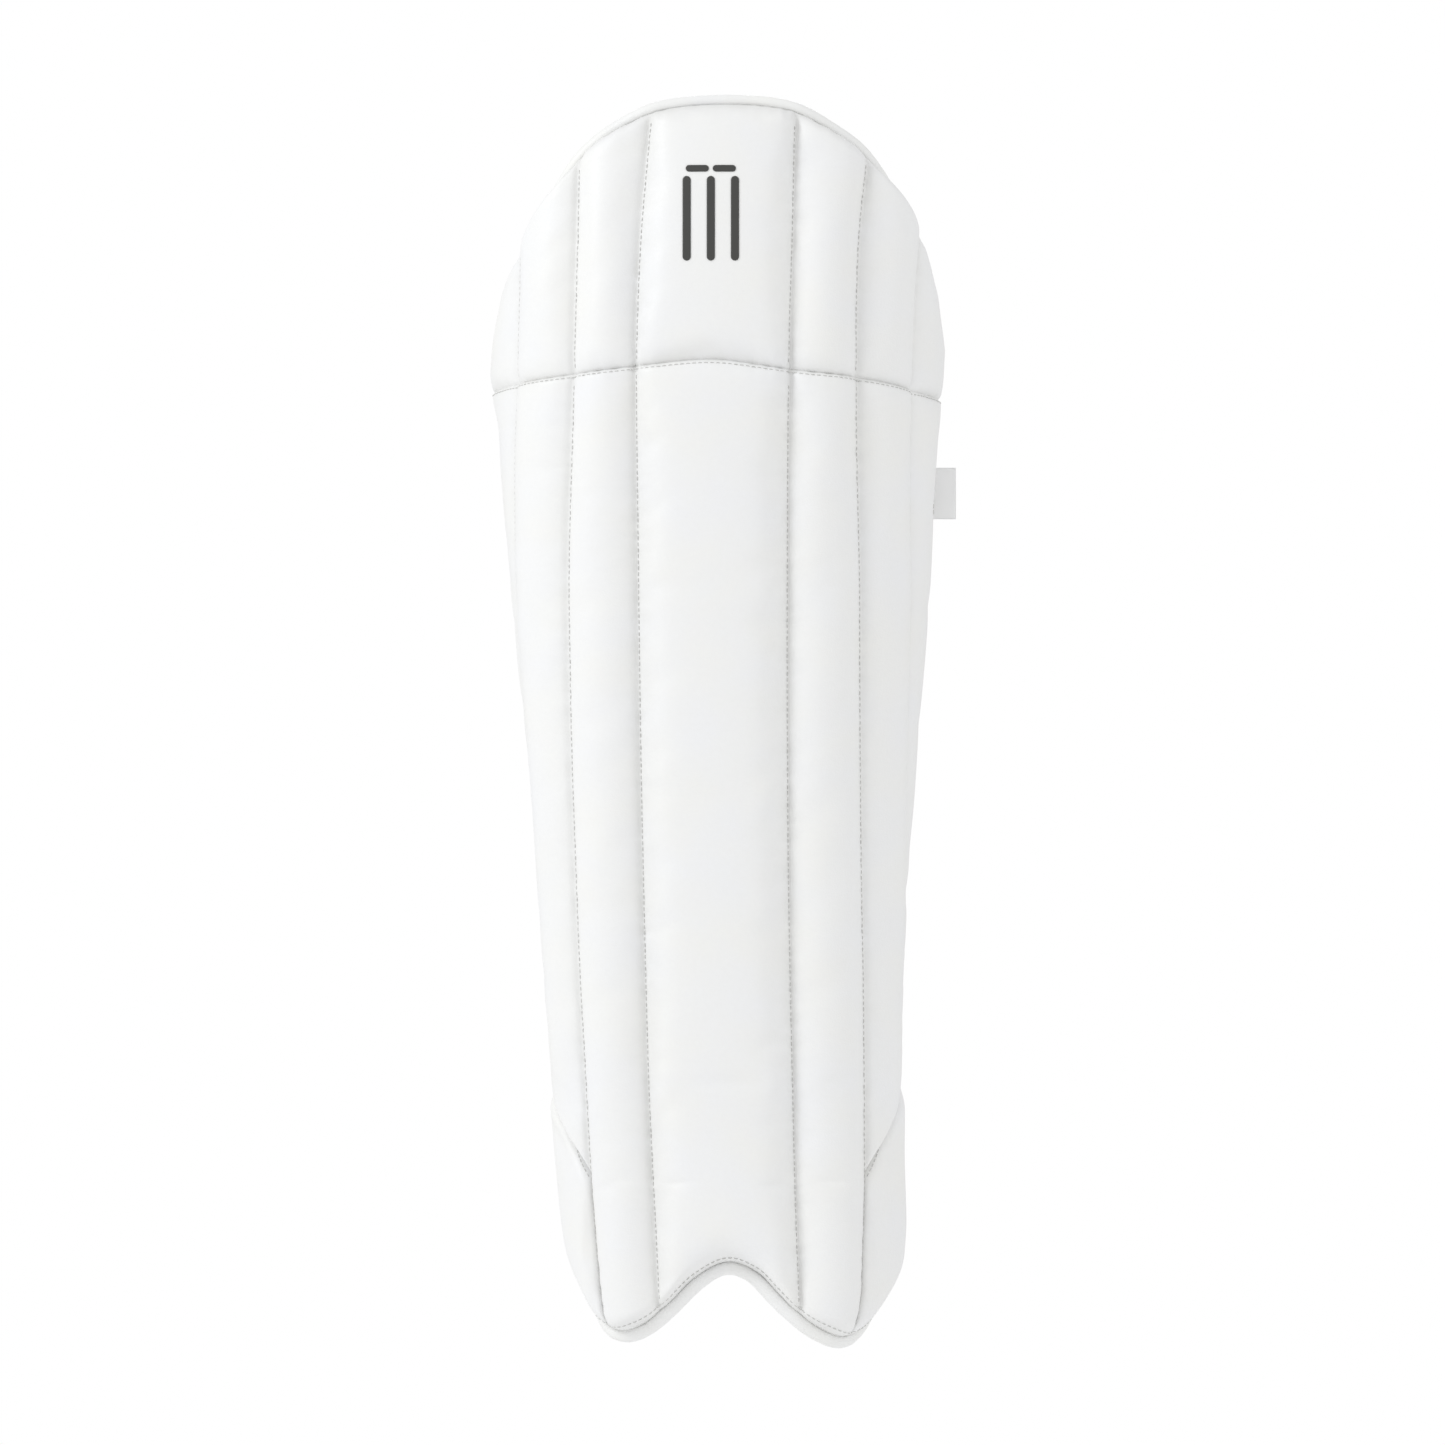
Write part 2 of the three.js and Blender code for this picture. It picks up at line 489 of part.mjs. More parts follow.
// A strap swings on its root behind the inner wing, and its hook patch closes on the loop patch of a short
// tab that is sewn to the outer wing. The strap starts a little way beyond its root, so that it has room to
// open there.
const SEWN_LENGTH = 0.4; // of a strap's sewn end, as a share of a wing's width
const CALF_PAD = { thickness: 6, width: 52 };
function addStrap(name, level) {
  const narrow = STRAP_WIDTH - 4;
  const { strap, hook, loop, tab } = layerFaces;
  add(`${name}_strap`, ribbon(loopLine(22, 173), strap, level), WEBBING);
  add(`${name}_strap_tip`, ribbon(loopLine(13, 21.5), strap, level), WHITE_LEATHER);
  add(`${name}_hook_patch`, ribbon(loopLine(23, 58), hook, level, narrow), HOOK_AND_LOOP);
  add(`${name}_loop_patch`, ribbon(loopLine(20, 60), loop, level, narrow), HOOK_AND_LOOP);
  const sewnTab = sewnLine([RIBS - SEWN_LENGTH, RIBS], 'tab');
  const tabLine = (z) => [...sewnTab(z), ...loopLine(0, 62)(z)];
  add(`${name}_strap_tab`, ribbon(tabLine, tab, level), WEBBING);
  const anchor = ribbon(sewnLine([-ROOT_BEYOND, 0, SEWN_LENGTH], 'strap'), strap, level);
  add(`${name}_strap_anchor`, anchor, WEBBING);
  if (name === 'calf') {
    const back = strap[0] - CLEARANCE;
    const cushion = ribbon(loopLine(80, 140), [back - CALF_PAD.thickness, back], level, CALF_PAD.width);
    add('calf_strap_pad', cushion, BOLSTER_CLOTH);
  }
}

// A cloth label that stands out sideways from the outer wing's piping.
function addTag() {
  const [length, thickness, height, level] = [14, 0.8, 27, 445];
  const gap = 2.5;
  const edge = plan(level).corners[RIBS];
  const root = edge.x + EDGE_DEPTH + HEM_PIPING_RADIUS + gap;
  const geometry = new THREE.BoxGeometry(length, thickness, height);
  const y = edge.y + HEM_PIPING_RADIUS + CLEARANCE;
  add('side_tag', geometry.translate(root + length / 2, y, level), LABEL);
}

addShin();
const ANKLE_GAP = 0.03;
addAnkle('inner', 0, ANKLE_RIBS - ANKLE_GAP, 1);
addAnkle('outer', RIBS - ANKLE_RIBS + ANKLE_GAP, RIBS, RIBS - 1);
addKnee();
Object.entries(STRAP_LEVELS).forEach(([name, level]) => addStrap(name, level));
addTag();

// The origin goes to the middle of the footprint, level with the lowest point.
const bounds = new THREE.Box3().setFromObject(pad);
const centre = bounds.getCenter(new THREE.Vector3());
pad.position.set(-centre.x, -centre.y, -bounds.min.z);

export default pad;
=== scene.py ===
"""Looks of a wicket keeper's leg pad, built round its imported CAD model.

Millimetres are used for the pad's own sizes; every mesh is made in metres in the CAD's frame. As in the CAD,
a place on the padded sheet is given by t, from 0 at the inner wing's edge to 7 at the outer wing's edge with
one unit to each rib, by the height z, and by the depth that it stands out of the sheet towards the front.
"""

import json
import math

import bpy
import numpy as np
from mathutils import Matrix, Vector
from mathutils.bvhtree import BVHTree


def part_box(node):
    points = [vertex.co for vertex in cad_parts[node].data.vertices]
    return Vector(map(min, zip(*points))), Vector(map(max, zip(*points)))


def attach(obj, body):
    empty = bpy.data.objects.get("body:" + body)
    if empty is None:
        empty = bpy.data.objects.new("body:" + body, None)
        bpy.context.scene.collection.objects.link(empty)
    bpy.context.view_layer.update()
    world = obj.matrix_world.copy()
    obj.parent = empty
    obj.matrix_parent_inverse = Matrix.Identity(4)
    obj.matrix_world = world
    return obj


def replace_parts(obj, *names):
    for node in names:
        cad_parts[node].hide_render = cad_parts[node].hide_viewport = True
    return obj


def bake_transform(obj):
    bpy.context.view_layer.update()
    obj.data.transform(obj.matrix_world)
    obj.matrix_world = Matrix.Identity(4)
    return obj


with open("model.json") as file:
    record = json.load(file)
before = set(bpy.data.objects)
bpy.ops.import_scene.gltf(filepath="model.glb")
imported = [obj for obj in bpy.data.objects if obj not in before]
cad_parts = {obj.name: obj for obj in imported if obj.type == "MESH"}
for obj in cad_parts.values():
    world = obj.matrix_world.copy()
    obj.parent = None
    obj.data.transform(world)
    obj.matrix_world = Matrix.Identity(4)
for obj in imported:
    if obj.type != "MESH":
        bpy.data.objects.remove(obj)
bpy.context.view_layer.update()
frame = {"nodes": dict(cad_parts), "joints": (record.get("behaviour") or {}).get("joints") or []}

MM = 0.001
JOINTS = {joint["name"]: joint for joint in frame["joints"]}
SHIN, KNEE = "shin_section", "knee_section"

# ---- Driving dimensions, in millimetres, as in the CAD ----

RIBS = 7
RIB_WIDTHS = np.array([55, 36, 34, 78, 39, 36, 55.0])
RIB_HEIGHTS = np.array([12, 15.5, 16.5, 17.5, 16.5, 15.5, 12.0])
MID_TURN = math.radians(17)
LEAN, LEAN_FROM = 0.0007, 500
KICK, KICK_BELOW = 12, 140
GROOVE_DEPTH = 5.2
FACING = 1.1
LINING_FACE = -0.5
LINING = 2.0
ANKLE_RIBS = 2
ANKLE_HEIGHT = 13.0
ANKLE_SEAM_LOW, ANKLE_SEAM_RISE = 88, 43
HINGE_Y, HINGE_Z = 14.0, 510.0
SHIFT = np.array(JOINTS["knee_fold"]["pos_m"]) / MM - (0, HINGE_Y, HINGE_Z)
STRAP_WIDTH = 38.0
STRAP_REACH = 52.0
STRAP_LEVELS = {"ankle": 147.0, "calf": 281.0, "knee": 443.0}
ROOT_BEYOND = 0.18


def unit(vectors):
    return vectors / np.linalg.norm(vectors, axis=-1, keepdims=True)


def pairs(*values):
    """Arrays side by side along a new last axis, as coordinates are."""
    return np.stack(np.broadcast_arrays(*values), -1)


def through(*points):
    """A smooth curve through (place, value) points, level beyond both ends."""
    places, values = np.array(points, float).T
    last = len(places) - 1
    before, after = np.maximum(np.arange(last + 1) - 1, 0), np.minimum(np.arange(last + 1) + 1, last)
    slopes = (values[after] - values[before]) / (places[after] - places[before])

    def curve(place):
        at = np.clip(place, places[0], places[-1])
        i = np.clip(np.searchsorted(places, at, side="right") - 1, 0, last - 1)
        span = places[i + 1] - places[i]
        s = (at - places[i]) / span
        bend = (slopes[i] * (1 - s) - slopes[i + 1] * s) * span * s * (1 - s)
        return values[i] + (values[i + 1] - values[i]) * s * s * (3 - 2 * s) + bend

    return curve


GROOVES = [
    through((0, -60), (40, -65), (110, -73.5), (200, -81.5), (284, -88.1), (388, -97.1), (456, -98.8),
            (500, -98), (577, -96.5)),
    through((0, -51.5), (40, -57.5), (128, -63.5), (232, -69), (388, -73.9), (503, -71.8), (622, -69.3)),
    through((0, -29.3), (128, -36.1), (284, -40.2), (400, -41.9), (510, -42.8), (576, -40.6), (650, -34)),
    through((0, 41), (128, 37.4), (284, 34.8), (510, 35.2), (580, 37.2), (650, 38.5)),
    through((0, 61), (30, 67.8), (128, 69.6), (284, 68), (388, 68.1), (503, 66.8), (570, 68.2), (622, 73)),
    through((0, 75), (40, 82), (108, 82), (200, 85.8), (284, 88), (388, 91.2), (456, 91.4), (500, 92.5),
            (583, 96.8)),
]
SIDE_TURN = through((128, 62), (284, 57), (500, 42), (600, 38))
INNER_WING_TURN = through((128, 108), (284, 105), (388, 98), (450, 87.5), (477, 84.5), (500, 76), (524, 77),
                          (560, 75))
OUTER_WING_TURN = through((128, 106), (232, 99), (284, 92.5), (326, 88.5), (388, 82.5), (420, 80.3),
                          (470, 76.5), (497, 73.5), (560, 73))
WING_WIDTH = through((128, 52), (284, 55), (500, 58))
SEAM = through((0, 496.6), (1, 500.8), (2, 505.4), (3, 509.6), (3.5, 512.7), (4, 508), (5, 503.9),
               (6, 497.6), (7, 493))
DOME = through((0, 510), (0.5, 546), (1, 573), (2, 618), (3, 641), (3.5, 645), (4, 641.5), (5, 619),
               (6, 583), (6.5, 549), (7, 508))
HEM = through((0, 118), (1, 43), (1.5, 21.5), (2, 12), (2.4, 11), (3, 21.5), (3.25, 37.5), (3.5, 46.5),
              (3.72, 40.5), (3.84, 31), (4, 20), (4.5, 10.5), (5, 7.5), (5.5, 16), (6, 38.5), (7, 112))


def profile(z):
    """How far back the centre's front stands: it kicks forwards at the foot and leans back at the knee."""
    return LEAN * np.maximum(0, z - LEAN_FROM) ** 2 - KICK * np.maximum(0, 1 - z / KICK_BELOW) ** 2


def ankle_seam(t):
    from_wing = np.minimum(np.minimum(t, RIBS - t), ANKLE_RIBS)
    return ANKLE_SEAM_LOW + ANKLE_SEAM_RISE * (ANKLE_RIBS - from_wing)


def in_frame(value, axis=2):
    """A place along one of the pad's own axes, in metres along the frame's."""
    return (value + SHIFT[axis]) * MM


def rib_at(t):
    """Which rib holds each place across the sheet."""
    return np.clip(np.floor(t).astype(int), 0, RIBS - 1)


def from_groove(t, rib):
    """Millimetres along the sheet to the nearer edge of a rib."""
    return np.minimum(t - rib, rib + 1 - t) * RIB_WIDTHS[rib]


# ---- The bent sheet ----

def plan(z):
    """The sheet's eight corners at each height, and the step in plan that a unit of depth makes at each."""
    grooves = [groove(z) for groove in GROOVES]

    def side(core, mid, outer, turn):
        y_mid = profile(z) + np.abs(mid - core) * math.tan(MID_TURN)
        y_outer = y_mid + np.abs(outer - mid) * np.tan(np.radians(SIDE_TURN(z)))
        away = np.sign(outer - core)
        edge_x = outer + away * np.cos(np.radians(turn)) * WING_WIDTH(z)
        edge_y = y_outer + np.sin(np.radians(turn)) * WING_WIDTH(z)
        return [pairs(core, profile(z)), pairs(mid, y_mid), pairs(outer, y_outer), pairs(edge_x, edge_y)]

    inner = side(grooves[2], grooves[1], grooves[0], INNER_WING_TURN(z))[::-1]
    outer = side(grooves[3], grooves[4], grooves[5], OUTER_WING_TURN(z))
    corners = np.stack(inner + outer, -2)
    along = unit(np.diff(corners, axis=-2))
    out = pairs(along[..., 1], -along[..., 0])
    before = np.concatenate([out[..., :1, :], out], -2)
    after = np.concatenate([out, out[..., -1:, :]], -2)
    steps = (before + after) / (1 + (before * after).sum(-1, keepdims=True))
    return corners, steps


def place(t, z, depth):
    """Points in the frame, in metres, of places on the sheet."""
    t, z, depth = np.broadcast_arrays(*[np.asarray(value, float) for value in (t, z, depth)])
    corners, steps = plan(z)
    shifted = corners + steps * depth[..., None, None]
    rib = rib_at(t)
    start = np.take_along_axis(shifted, rib[..., None, None], -2)[..., 0, :]
    end = np.take_along_axis(shifted, rib[..., None, None] + 1, -2)[..., 0, :]
    at = start + (end - start) * (t - rib)[..., None]
    return (np.concatenate([at, z[..., None]], -1) + SHIFT) * MM


def quarter_round(share):
    return np.sqrt(1 - (1 - np.clip(share, 0, 1)) ** 2)


def crowded(start, end, count, crowding=0.45):
    """Places from start to end that stand closer together towards both."""
    share = np.linspace(0, 1, count + 1)
    share = share - crowding * np.sin(2 * math.pi * share) / (2 * math.pi)
    return start + (end - start) * share


# ---- Meshes ----

def read(items, name, size=1, kind=float):
    """One value of every mesh element, as an array."""
    values = np.zeros(len(items) * size, kind)
    items.foreach_get(name, values)
    return values.reshape(-1, size) if size > 1 else values


def coordinates(obj):
    return read(obj.data.vertices, "co", 3)


def normals(obj):
    return read(obj.data.vertices, "normal", 3)


def move_to(obj, points):
    obj.data.vertices.foreach_set("co", points.ravel())


def add_object(name, data):
    obj = bpy.data.objects.new(name, data)
    bpy.context.scene.collection.objects.link(obj)
    return obj


def new_object(name, vertices, faces, material, uv=None):
    mesh = bpy.data.meshes.new(name)
    if isinstance(faces, np.ndarray):
        faces = faces.tolist()
    mesh.from_pydata(np.asarray(vertices).reshape(-1, 3).tolist(), [], faces)
    if uv is not None:
        layer = mesh.uv_layers.new(name="UVMap")
        corner_vertex = read(mesh.loops, "vertex_index", kind=int)
        layer.data.foreach_set("uv", np.asarray(uv, float).reshape(-1, 2)[corner_vertex].ravel())
    mesh.polygons.foreach_set("use_smooth", np.ones(len(mesh.polygons), bool))
    mesh.materials.append(material)
    return add_object(name, mesh)


def grid_faces(rows, columns, wrap=False):
    """Quads of a grid whose vertices run along its rows; wrap joins the last column to the first."""
    r, c = np.mgrid[0:rows - 1, 0:columns if wrap else columns - 1]
    here, right = r * columns + c, r * columns + (c + 1) % columns
    return np.stack([here, right, right + columns, here + columns], -1).reshape(-1, 4)


def tube_faces(rows, around):
    """Faces of a closed tube whose vertices run round each of its rings."""
    ends = list(range(around))[::-1], list(range((rows - 1) * around, rows * around))
    return [*grid_faces(rows, around, wrap=True).tolist(), *ends]


def apply_modifiers(obj):
    bpy.context.view_layer.update()
    made = bpy.data.meshes.new_from_object(obj.evaluated_get(bpy.context.evaluated_depsgraph_get()))
    obj.modifiers.clear()
    obj.data = made
    return obj


def thicken(obj, thickness, towards=-1):
    """Gives a sheet its thickness, in millimetres, behind its face."""
    solid = obj.modifiers.new("thickness", "SOLIDIFY")
    solid.thickness = thickness * MM
    solid.offset = towards
    solid.use_even_offset = False
    return apply_modifiers(obj)


def tangents(points):
    """Unit tangents along a line of points."""
    ahead, behind = np.roll(points, -1, 0), np.roll(points, 1, 0)
    ahead[-1], behind[0] = points[-1], points[0]
    return unit(ahead - behind)


def run_along(points):
    """How far each point lies along its line."""
    return np.concatenate([[0], np.cumsum(np.linalg.norm(np.diff(points, axis=0), axis=1))])


def ease(points, passes):
    """Evens out a line of points, which runs along the last axis but one."""
    for _ in range(passes):
        points[..., 1:-1, :] = (points[..., :-2, :] + 2 * points[..., 1:-1, :] + points[..., 2:, :]) / 4
    return points


def resample(points, spacing, *others):
    """The same line with its points evenly spaced, followed by other vectors that stand at its points."""
    run = run_along(points)
    at = np.linspace(0, run[-1], max(2, int(round(run[-1] / spacing)) + 1))
    return [np.stack([np.interp(at, run, column) for column in vectors.T], -1)
            for vectors in (points, *others)]


CORD_GIRTH = 20.0


def tube(name, points, fronts, section, material):
    """A closed tube along points. fronts point out of the pad's face, and section holds the tube's (side,
    front) offsets in metres round each point, with side pointing away from the pad."""
    tangent = tangents(points)
    side = unit(np.cross(tangent, fronts))
    front = np.cross(side, tangent)
    rings = points[:, None] + side[:, None] * section[..., :1] + front[:, None] * section[..., 1:]
    uv = pairs(run_along(points)[:, None], np.linspace(0, CORD_GIRTH * MM, rings.shape[1]))
    return new_object(name, rings, tube_faces(*rings.shape[:2]), material, uv)


STITCH_PITCH = 3.1
STITCH_LENGTH = 2.3
STITCH_ALONG = np.array([-0.5, -0.38, 0, 0.38, 0.5]) * STITCH_LENGTH
STITCH_RISE = np.array([-0.35, 0.12, 0.3, 0.12, -0.35])
THREAD = 0.27
THREAD_SIDES = 6


def stitches(name, lines):
    """Short thread stitches sunk at both ends, along lines of (points, outward normals) in metres."""
    angle = np.linspace(0, 2 * math.pi, THREAD_SIDES, endpoint=False)
    ring = THREAD * MM * pairs(np.cos(angle), np.sin(angle))
    size = len(STITCH_RISE) * THREAD_SIDES
    pattern = [np.array(face[::-1]) for face in tube_faces(len(STITCH_RISE), THREAD_SIDES)]
    vertices, faces = [], []
    for points, outward in lines:
        even, up = resample(points, STITCH_PITCH * MM, outward)
        tangent = tangents(even)
        side = unit(np.cross(tangent, up))
        up = np.cross(side, tangent)
        for centre, way, out, across in zip(even[:-1] + np.diff(even, axis=0) / 2, tangent, up, side):
            base = len(vertices) * size
            rings = [centre + way * along + out * rise + across * ring[:, :1] + out * ring[:, 1:]
                     for along, rise in zip(STITCH_ALONG * MM, STITCH_RISE * MM)]
            vertices.append(np.concatenate(rings))
            faces.extend((face + base).tolist() for face in pattern)
    return new_object(name, np.concatenate(vertices), faces, THREAD_LOOK)


# ---- Materials ----

class Nodes:
    """The node tree of a material or a world, and the shader that it ends in."""

    def __init__(self, owner, shader):
        owner.use_nodes = True
        self.tree = owner.node_tree
        self.shader = self.tree.nodes[shader]

    def feed(self, socket, value):
        """Links a socket to another one, or gives it a plain value; a colour comes without its alpha."""
        if isinstance(value, bpy.types.NodeSocket):
            self.tree.links.new(value, socket)
        else:
            socket.default_value = (*value, 1) if socket.type == "RGBA" else value

    def set(self, name, value):
        self.feed(self.shader.inputs[name], value)

    def node(self, kind, inputs, output, **settings):
        """Adds a node and gives one of its outputs."""
        node = self.tree.nodes.new(f"ShaderNode{kind}")
        for name, value in settings.items():
            setattr(node, name, value)
        for name, value in inputs.items():
            self.feed(node.inputs[name], value)
        return node.outputs[output]


class Look(Nodes):
    """A procedural material and the few node chains that the looks share."""

    def __init__(self, name, roughness, vector="UV"):
        self.material = bpy.data.materials.new(name)
        super().__init__(self.material, "Principled BSDF")
        self.set("Roughness", roughness)
        scaling = {0: self.node("TexCoord", {}, vector), "Scale": 1 / MM}
        self.millimetres = self.node("VectorMath", scaling, "Vector", operation="SCALE")
        self.relief = None

    def noise(self, size, detail=3.0, stretch=(1, 1, 1)):
        """Noise from 0 to 1 whose blobs are about size millimetres across."""
        vector = self.millimetres
        if stretch != (1, 1, 1):
            vector = self.node("VectorMath", {0: vector, 1: stretch}, "Vector", operation="MULTIPLY")
        return self.node("TexNoise", {"Vector": vector, "Scale": 1 / size, "Detail": detail}, "Fac")

    def cells(self, size):
        """Distance to the nearest of scattered points, size millimetres apart."""
        return self.node("TexVoronoi", {"Vector": self.millimetres, "Scale": 1 / size}, "Distance")

    def waves(self, pitch, direction, distortion=0.0):
        inputs = {"Vector": self.millimetres, "Scale": math.pi / 5 / pitch, "Distortion": distortion}
        return self.node("TexWave", inputs, "Fac", bands_direction=direction)

    def product(self, a, b):
        return self.node("Math", {0: a, 1: b}, 0, operation="MULTIPLY")

    def spread(self, value, low, high):
        """Maps a value's middle range onto low to high."""
        inputs = {"Value": value, "From Min": 0.3, "From Max": 0.7, "To Min": low, "To Max": high}
        return self.node("MapRange", inputs, "Result")

    def mix(self, factor, a, b):
        """Blends two colours."""
        return self.node("Mix", {0: factor, 6: a, 7: b}, 2, data_type="RGBA")

    def colour(self, factor, a, b):
        self.set("Base Color", self.mix(factor, a, b))

    def bump(self, value, depth, strength=1.0):
        """Adds relief of the given depth in millimetres."""
        inputs = {"Height": value, "Distance": depth * MM, "Strength": strength}
        if self.relief is not None:
            inputs["Normal"] = self.relief
        self.relief = self.node("Bump", inputs, "Normal")
        self.set("Normal", self.relief)


def tinted(tone, *shares):
    """A colour times one share, or times a share for each of its channels."""
    return tuple(float(channel) for channel in np.array(tone) * shares)


def leather(name, tone, grain=0.9):
    """Coated white leather: a fine pebbled grain, faint blotches, and painted shade in its creases, uneven
    by noise.
    """
    look = Look(name, 0.45)
    cool, warm = tinted(tone, 0.988, 0.993, 1.01), tinted(tone, 1.0, 0.998, 0.98)
    clean = look.mix(look.spread(look.noise(38, 2), 0, 1), cool, warm)
    speckle = look.spread(look.noise(2.6, 4), 0, 0.35)
    base = look.mix(speckle, clean, tinted(tone, 0.965))
    # Painted shade: the crease attribute blends the colour towards a darker grey in grooves, at seams and
    # beside bindings, where shade falls.
    beside = look.node("Attribute", {}, "Fac", attribute_name="crease")
    crease = look.product(beside, look.spread(look.noise(9, 3), 0.3, 1))
    look.colour(crease, base, tinted(tone, 0.88, 0.88, 0.87))
    look.set("Roughness", look.spread(look.noise(1.4, 3), 0.4, 0.56))
    look.bump(look.noise(14, 2), 0.25, 0.5)
    look.bump(look.cells(grain), 0.07, 0.5)
    look.bump(look.noise(0.5, 2), 0.03, 0.4)
    look.set("Specular IOR Level", 0.45)
    return look.material


def cloth(name, tone, pitch=0.9, vector="UV", fuzz=0.08, sheen=0.3, shade=0.88):
    """A plain weave with a brushed, slightly uneven face."""
    look = Look(name, 0.9, vector)
    weave = look.product(look.waves(pitch, "X", 0.6), look.waves(pitch, "Y", 0.6))
    worn = look.mix(look.spread(look.noise(30, 3), 0, 0.5), tone, tinted(tone, 0.96, 0.955, 0.93))
    look.colour(look.product(weave, 0.5), tinted(tone, shade), worn)
    look.bump(look.noise(6, 3), 0.25, 0.5)
    look.bump(weave, 0.12, 0.7)
    look.bump(look.noise(0.35, 2), fuzz, 0.6)
    look.set("Sheen Weight", sheen)
    return look.material


def webbing(name, tone):
    """Strap webbing: a herringbone of fine diagonal ribs between cords that run along the ribbon."""
    look = Look(name, 0.75)
    rise, threads = look.waves(1.5, "DIAGONAL", 0.15), look.waves(0.7, "X", 0.3)
    look.colour(look.product(rise, threads), tinted(tone, 0.92), tone)
    look.bump(look.waves(4.2, "Y"), 0.5, 0.7)
    look.bump(rise, 0.3, 0.8)
    look.bump(threads, 0.12, 0.6)
    look.bump(look.noise(0.3, 2), 0.05, 0.5)
    look.set("Sheen Weight", 0.2)
    return look.material


def pile(name, tone, size, depth):
    """Hook or loop pile."""
    look = Look(name, 0.95)
    tufts = look.cells(size)
    look.colour(look.spread(tufts, 0, 1), tone, tinted(tone, 0.72))
    look.bump(tufts, depth)
    look.bump(look.noise(size / 2, 2), depth / 2, 0.7)
    look.set("Sheen Weight", 0.5)
    return look.material


def foam_sheet(name, tone):
    look = Look(name, 0.95, "Object")
    bubbles = look.cells(0.8)
    look.colour(look.spread(bubbles, 0, 1), tinted(tone, 0.9), tone)
    look.bump(bubbles, 0.2, 0.8)
    return look.material


def cane(name, tone):
    """Split cane, with fibres that run upwards."""
    look = Look(name, 0.6, "Object")
    fibres = look.noise(1.2, 4, (1, 1, 0.03))
    look.colour(look.spread(fibres, 0, 1), tinted(tone, 0.6), tone)
    look.bump(fibres, 0.2, 0.8)
    return look.material


def thread(name, tone):
    look = Look(name, 0.7, "Object")
    twist = look.noise(0.35, 1)
    look.colour(look.spread(twist, 0, 1), tinted(tone, 0.8), tone)
    look.bump(twist, 0.08, 0.8)
    return look.material


def ink(name, tone):
    """Ink printed on leather, a little uneven, with the leather's grain in it."""
    look = Look(name, 0.5)
    look.colour(look.spread(look.noise(1.2, 3), 0, 0.6), tone, tinted(tone, 1.4))
    look.bump(look.cells(0.9), 0.05, 0.5)
    return look.material


LEATHER = leather("white_leather", (0.90, 0.90, 0.895))
CORD_LEATHER = leather("binding_leather", (0.91, 0.91, 0.90), grain=0.7)
LINING_CLOTH = cloth("lining_cloth", (0.84, 0.84, 0.825))
ROLL_CLOTH = cloth("roll_cloth", (0.84, 0.84, 0.82), pitch=1.2, vector="Object", fuzz=0.14, sheen=0.5)
WEBBING = webbing("strap_webbing", (0.90, 0.90, 0.885))
HOOKS = pile("hook_pile", (0.78, 0.78, 0.77), 0.9, 0.35)
LOOPS = pile("loop_pile", (0.82, 0.82, 0.80), 0.6, 0.5)
FOAM = foam_sheet("foam_sheet", (0.72, 0.74, 0.76))
CANE = cane("split_cane", (0.62, 0.45, 0.24))
THREAD_LOOK = thread("grey_thread", (0.70, 0.70, 0.68))
INK = ink("printed_ink", (0.045, 0.045, 0.042))
LABEL_CLOTH = cloth("label_cloth", (0.985, 0.985, 0.985), pitch=0.45, fuzz=0.02, sheen=0.2, shade=0.98)

# ---- Sewn sheets ----

WIDTH_AT = np.concatenate([[0], np.cumsum(RIB_WIDTHS)])
USUAL_RIB = 40


def across_mm(t):
    return np.interp(t, np.arange(RIBS + 1), WIDTH_AT)


def sheet_columns(tuck, spacing):
    """Places across the pad with one on every groove, from tuck millimetres beyond one wing to the other."""
    stops = [-tuck / RIB_WIDTHS[0], *range(RIBS + 1), RIBS + tuck / RIB_WIDTHS[0]]
    runs = [crowded(a, b, max(2, round((across_mm(b) - across_mm(a)) / spacing)))
            for a, b in zip(stops, stops[1:])]
    return np.concatenate([run[:-1] for run in runs] + [stops[-1:]])


# How far panels stay out over a groove and at each kind of edge, as a share of their height, and the radius
# of their roll down to the edge.
GROOVE_HELD = 0.35
HEM_END = (0.0, 8.0)
SHIN_SEAM_END = (0.6, 3.5)
KNEE_SEAM_END = (0.6, 13.0)
DOME_END = (0.0, 7.0)

RIB_ROUNDS = np.array([15, 16, 15, 13, 15, 16, 15.0])
# How much higher a rib's middle is than its flanks, and how far its stitches sink below the groove.
CROWN = 1.6
SUNK = 1.2


def facing_depth(t, z, low, high, low_end, high_end):
    """Depth of the ribbed facing: full over each rib, and sewn down along its grooves and at its ends. An
    end is (how far its panels stay out there, the radius of their roll to it)."""
    rib = rib_at(t)
    across = quarter_round(from_groove(t, rib) / RIB_ROUNDS[rib])
    held_groove = GROOVE_HELD * quarter_round(np.minimum(t, RIBS - t) * RIB_WIDTHS[0] / RIB_ROUNDS[0])
    across = held_groove + (1 - held_groove) * across
    ends = [held + (1 - held) * quarter_round(distance / radius)
            for (held, radius), distance in ((low_end, z - low), (high_end, high - z))]
    full = across * ends[0] * ends[1]
    crown = CROWN * np.sin(np.pi * (t - rib)) ** 2 * full
    return GROOVE_DEPTH - SUNK + (RIB_HEIGHTS[rib] + SUNK - GROOVE_DEPTH - CROWN) * full + crown


# How far sheets run under their neighbours: at seams, at the hem and dome, at the wings, and behind the pad.
OVERLAP = 0.8
UNDER_BINDING = 1.3
WING_TUCK = 1.0
LINING_TUCK = 1.4


def near(distance, reach=2.2):
    """1 at a crease, fading over the reach in millimetres."""
    return np.exp(-np.abs(distance) / reach)


def sheet_uv(t, z):
    return pairs(across_mm(t), z) * MM


def set_crease_shade(obj, values):
    """How deep in a crease each vertex lies, for the painted shade that darkens the leather there."""
    creases = obj.data.attributes.new("crease", "FLOAT", "POINT")
    creases.data.foreach_set("value", np.asarray(values, np.float32).ravel())


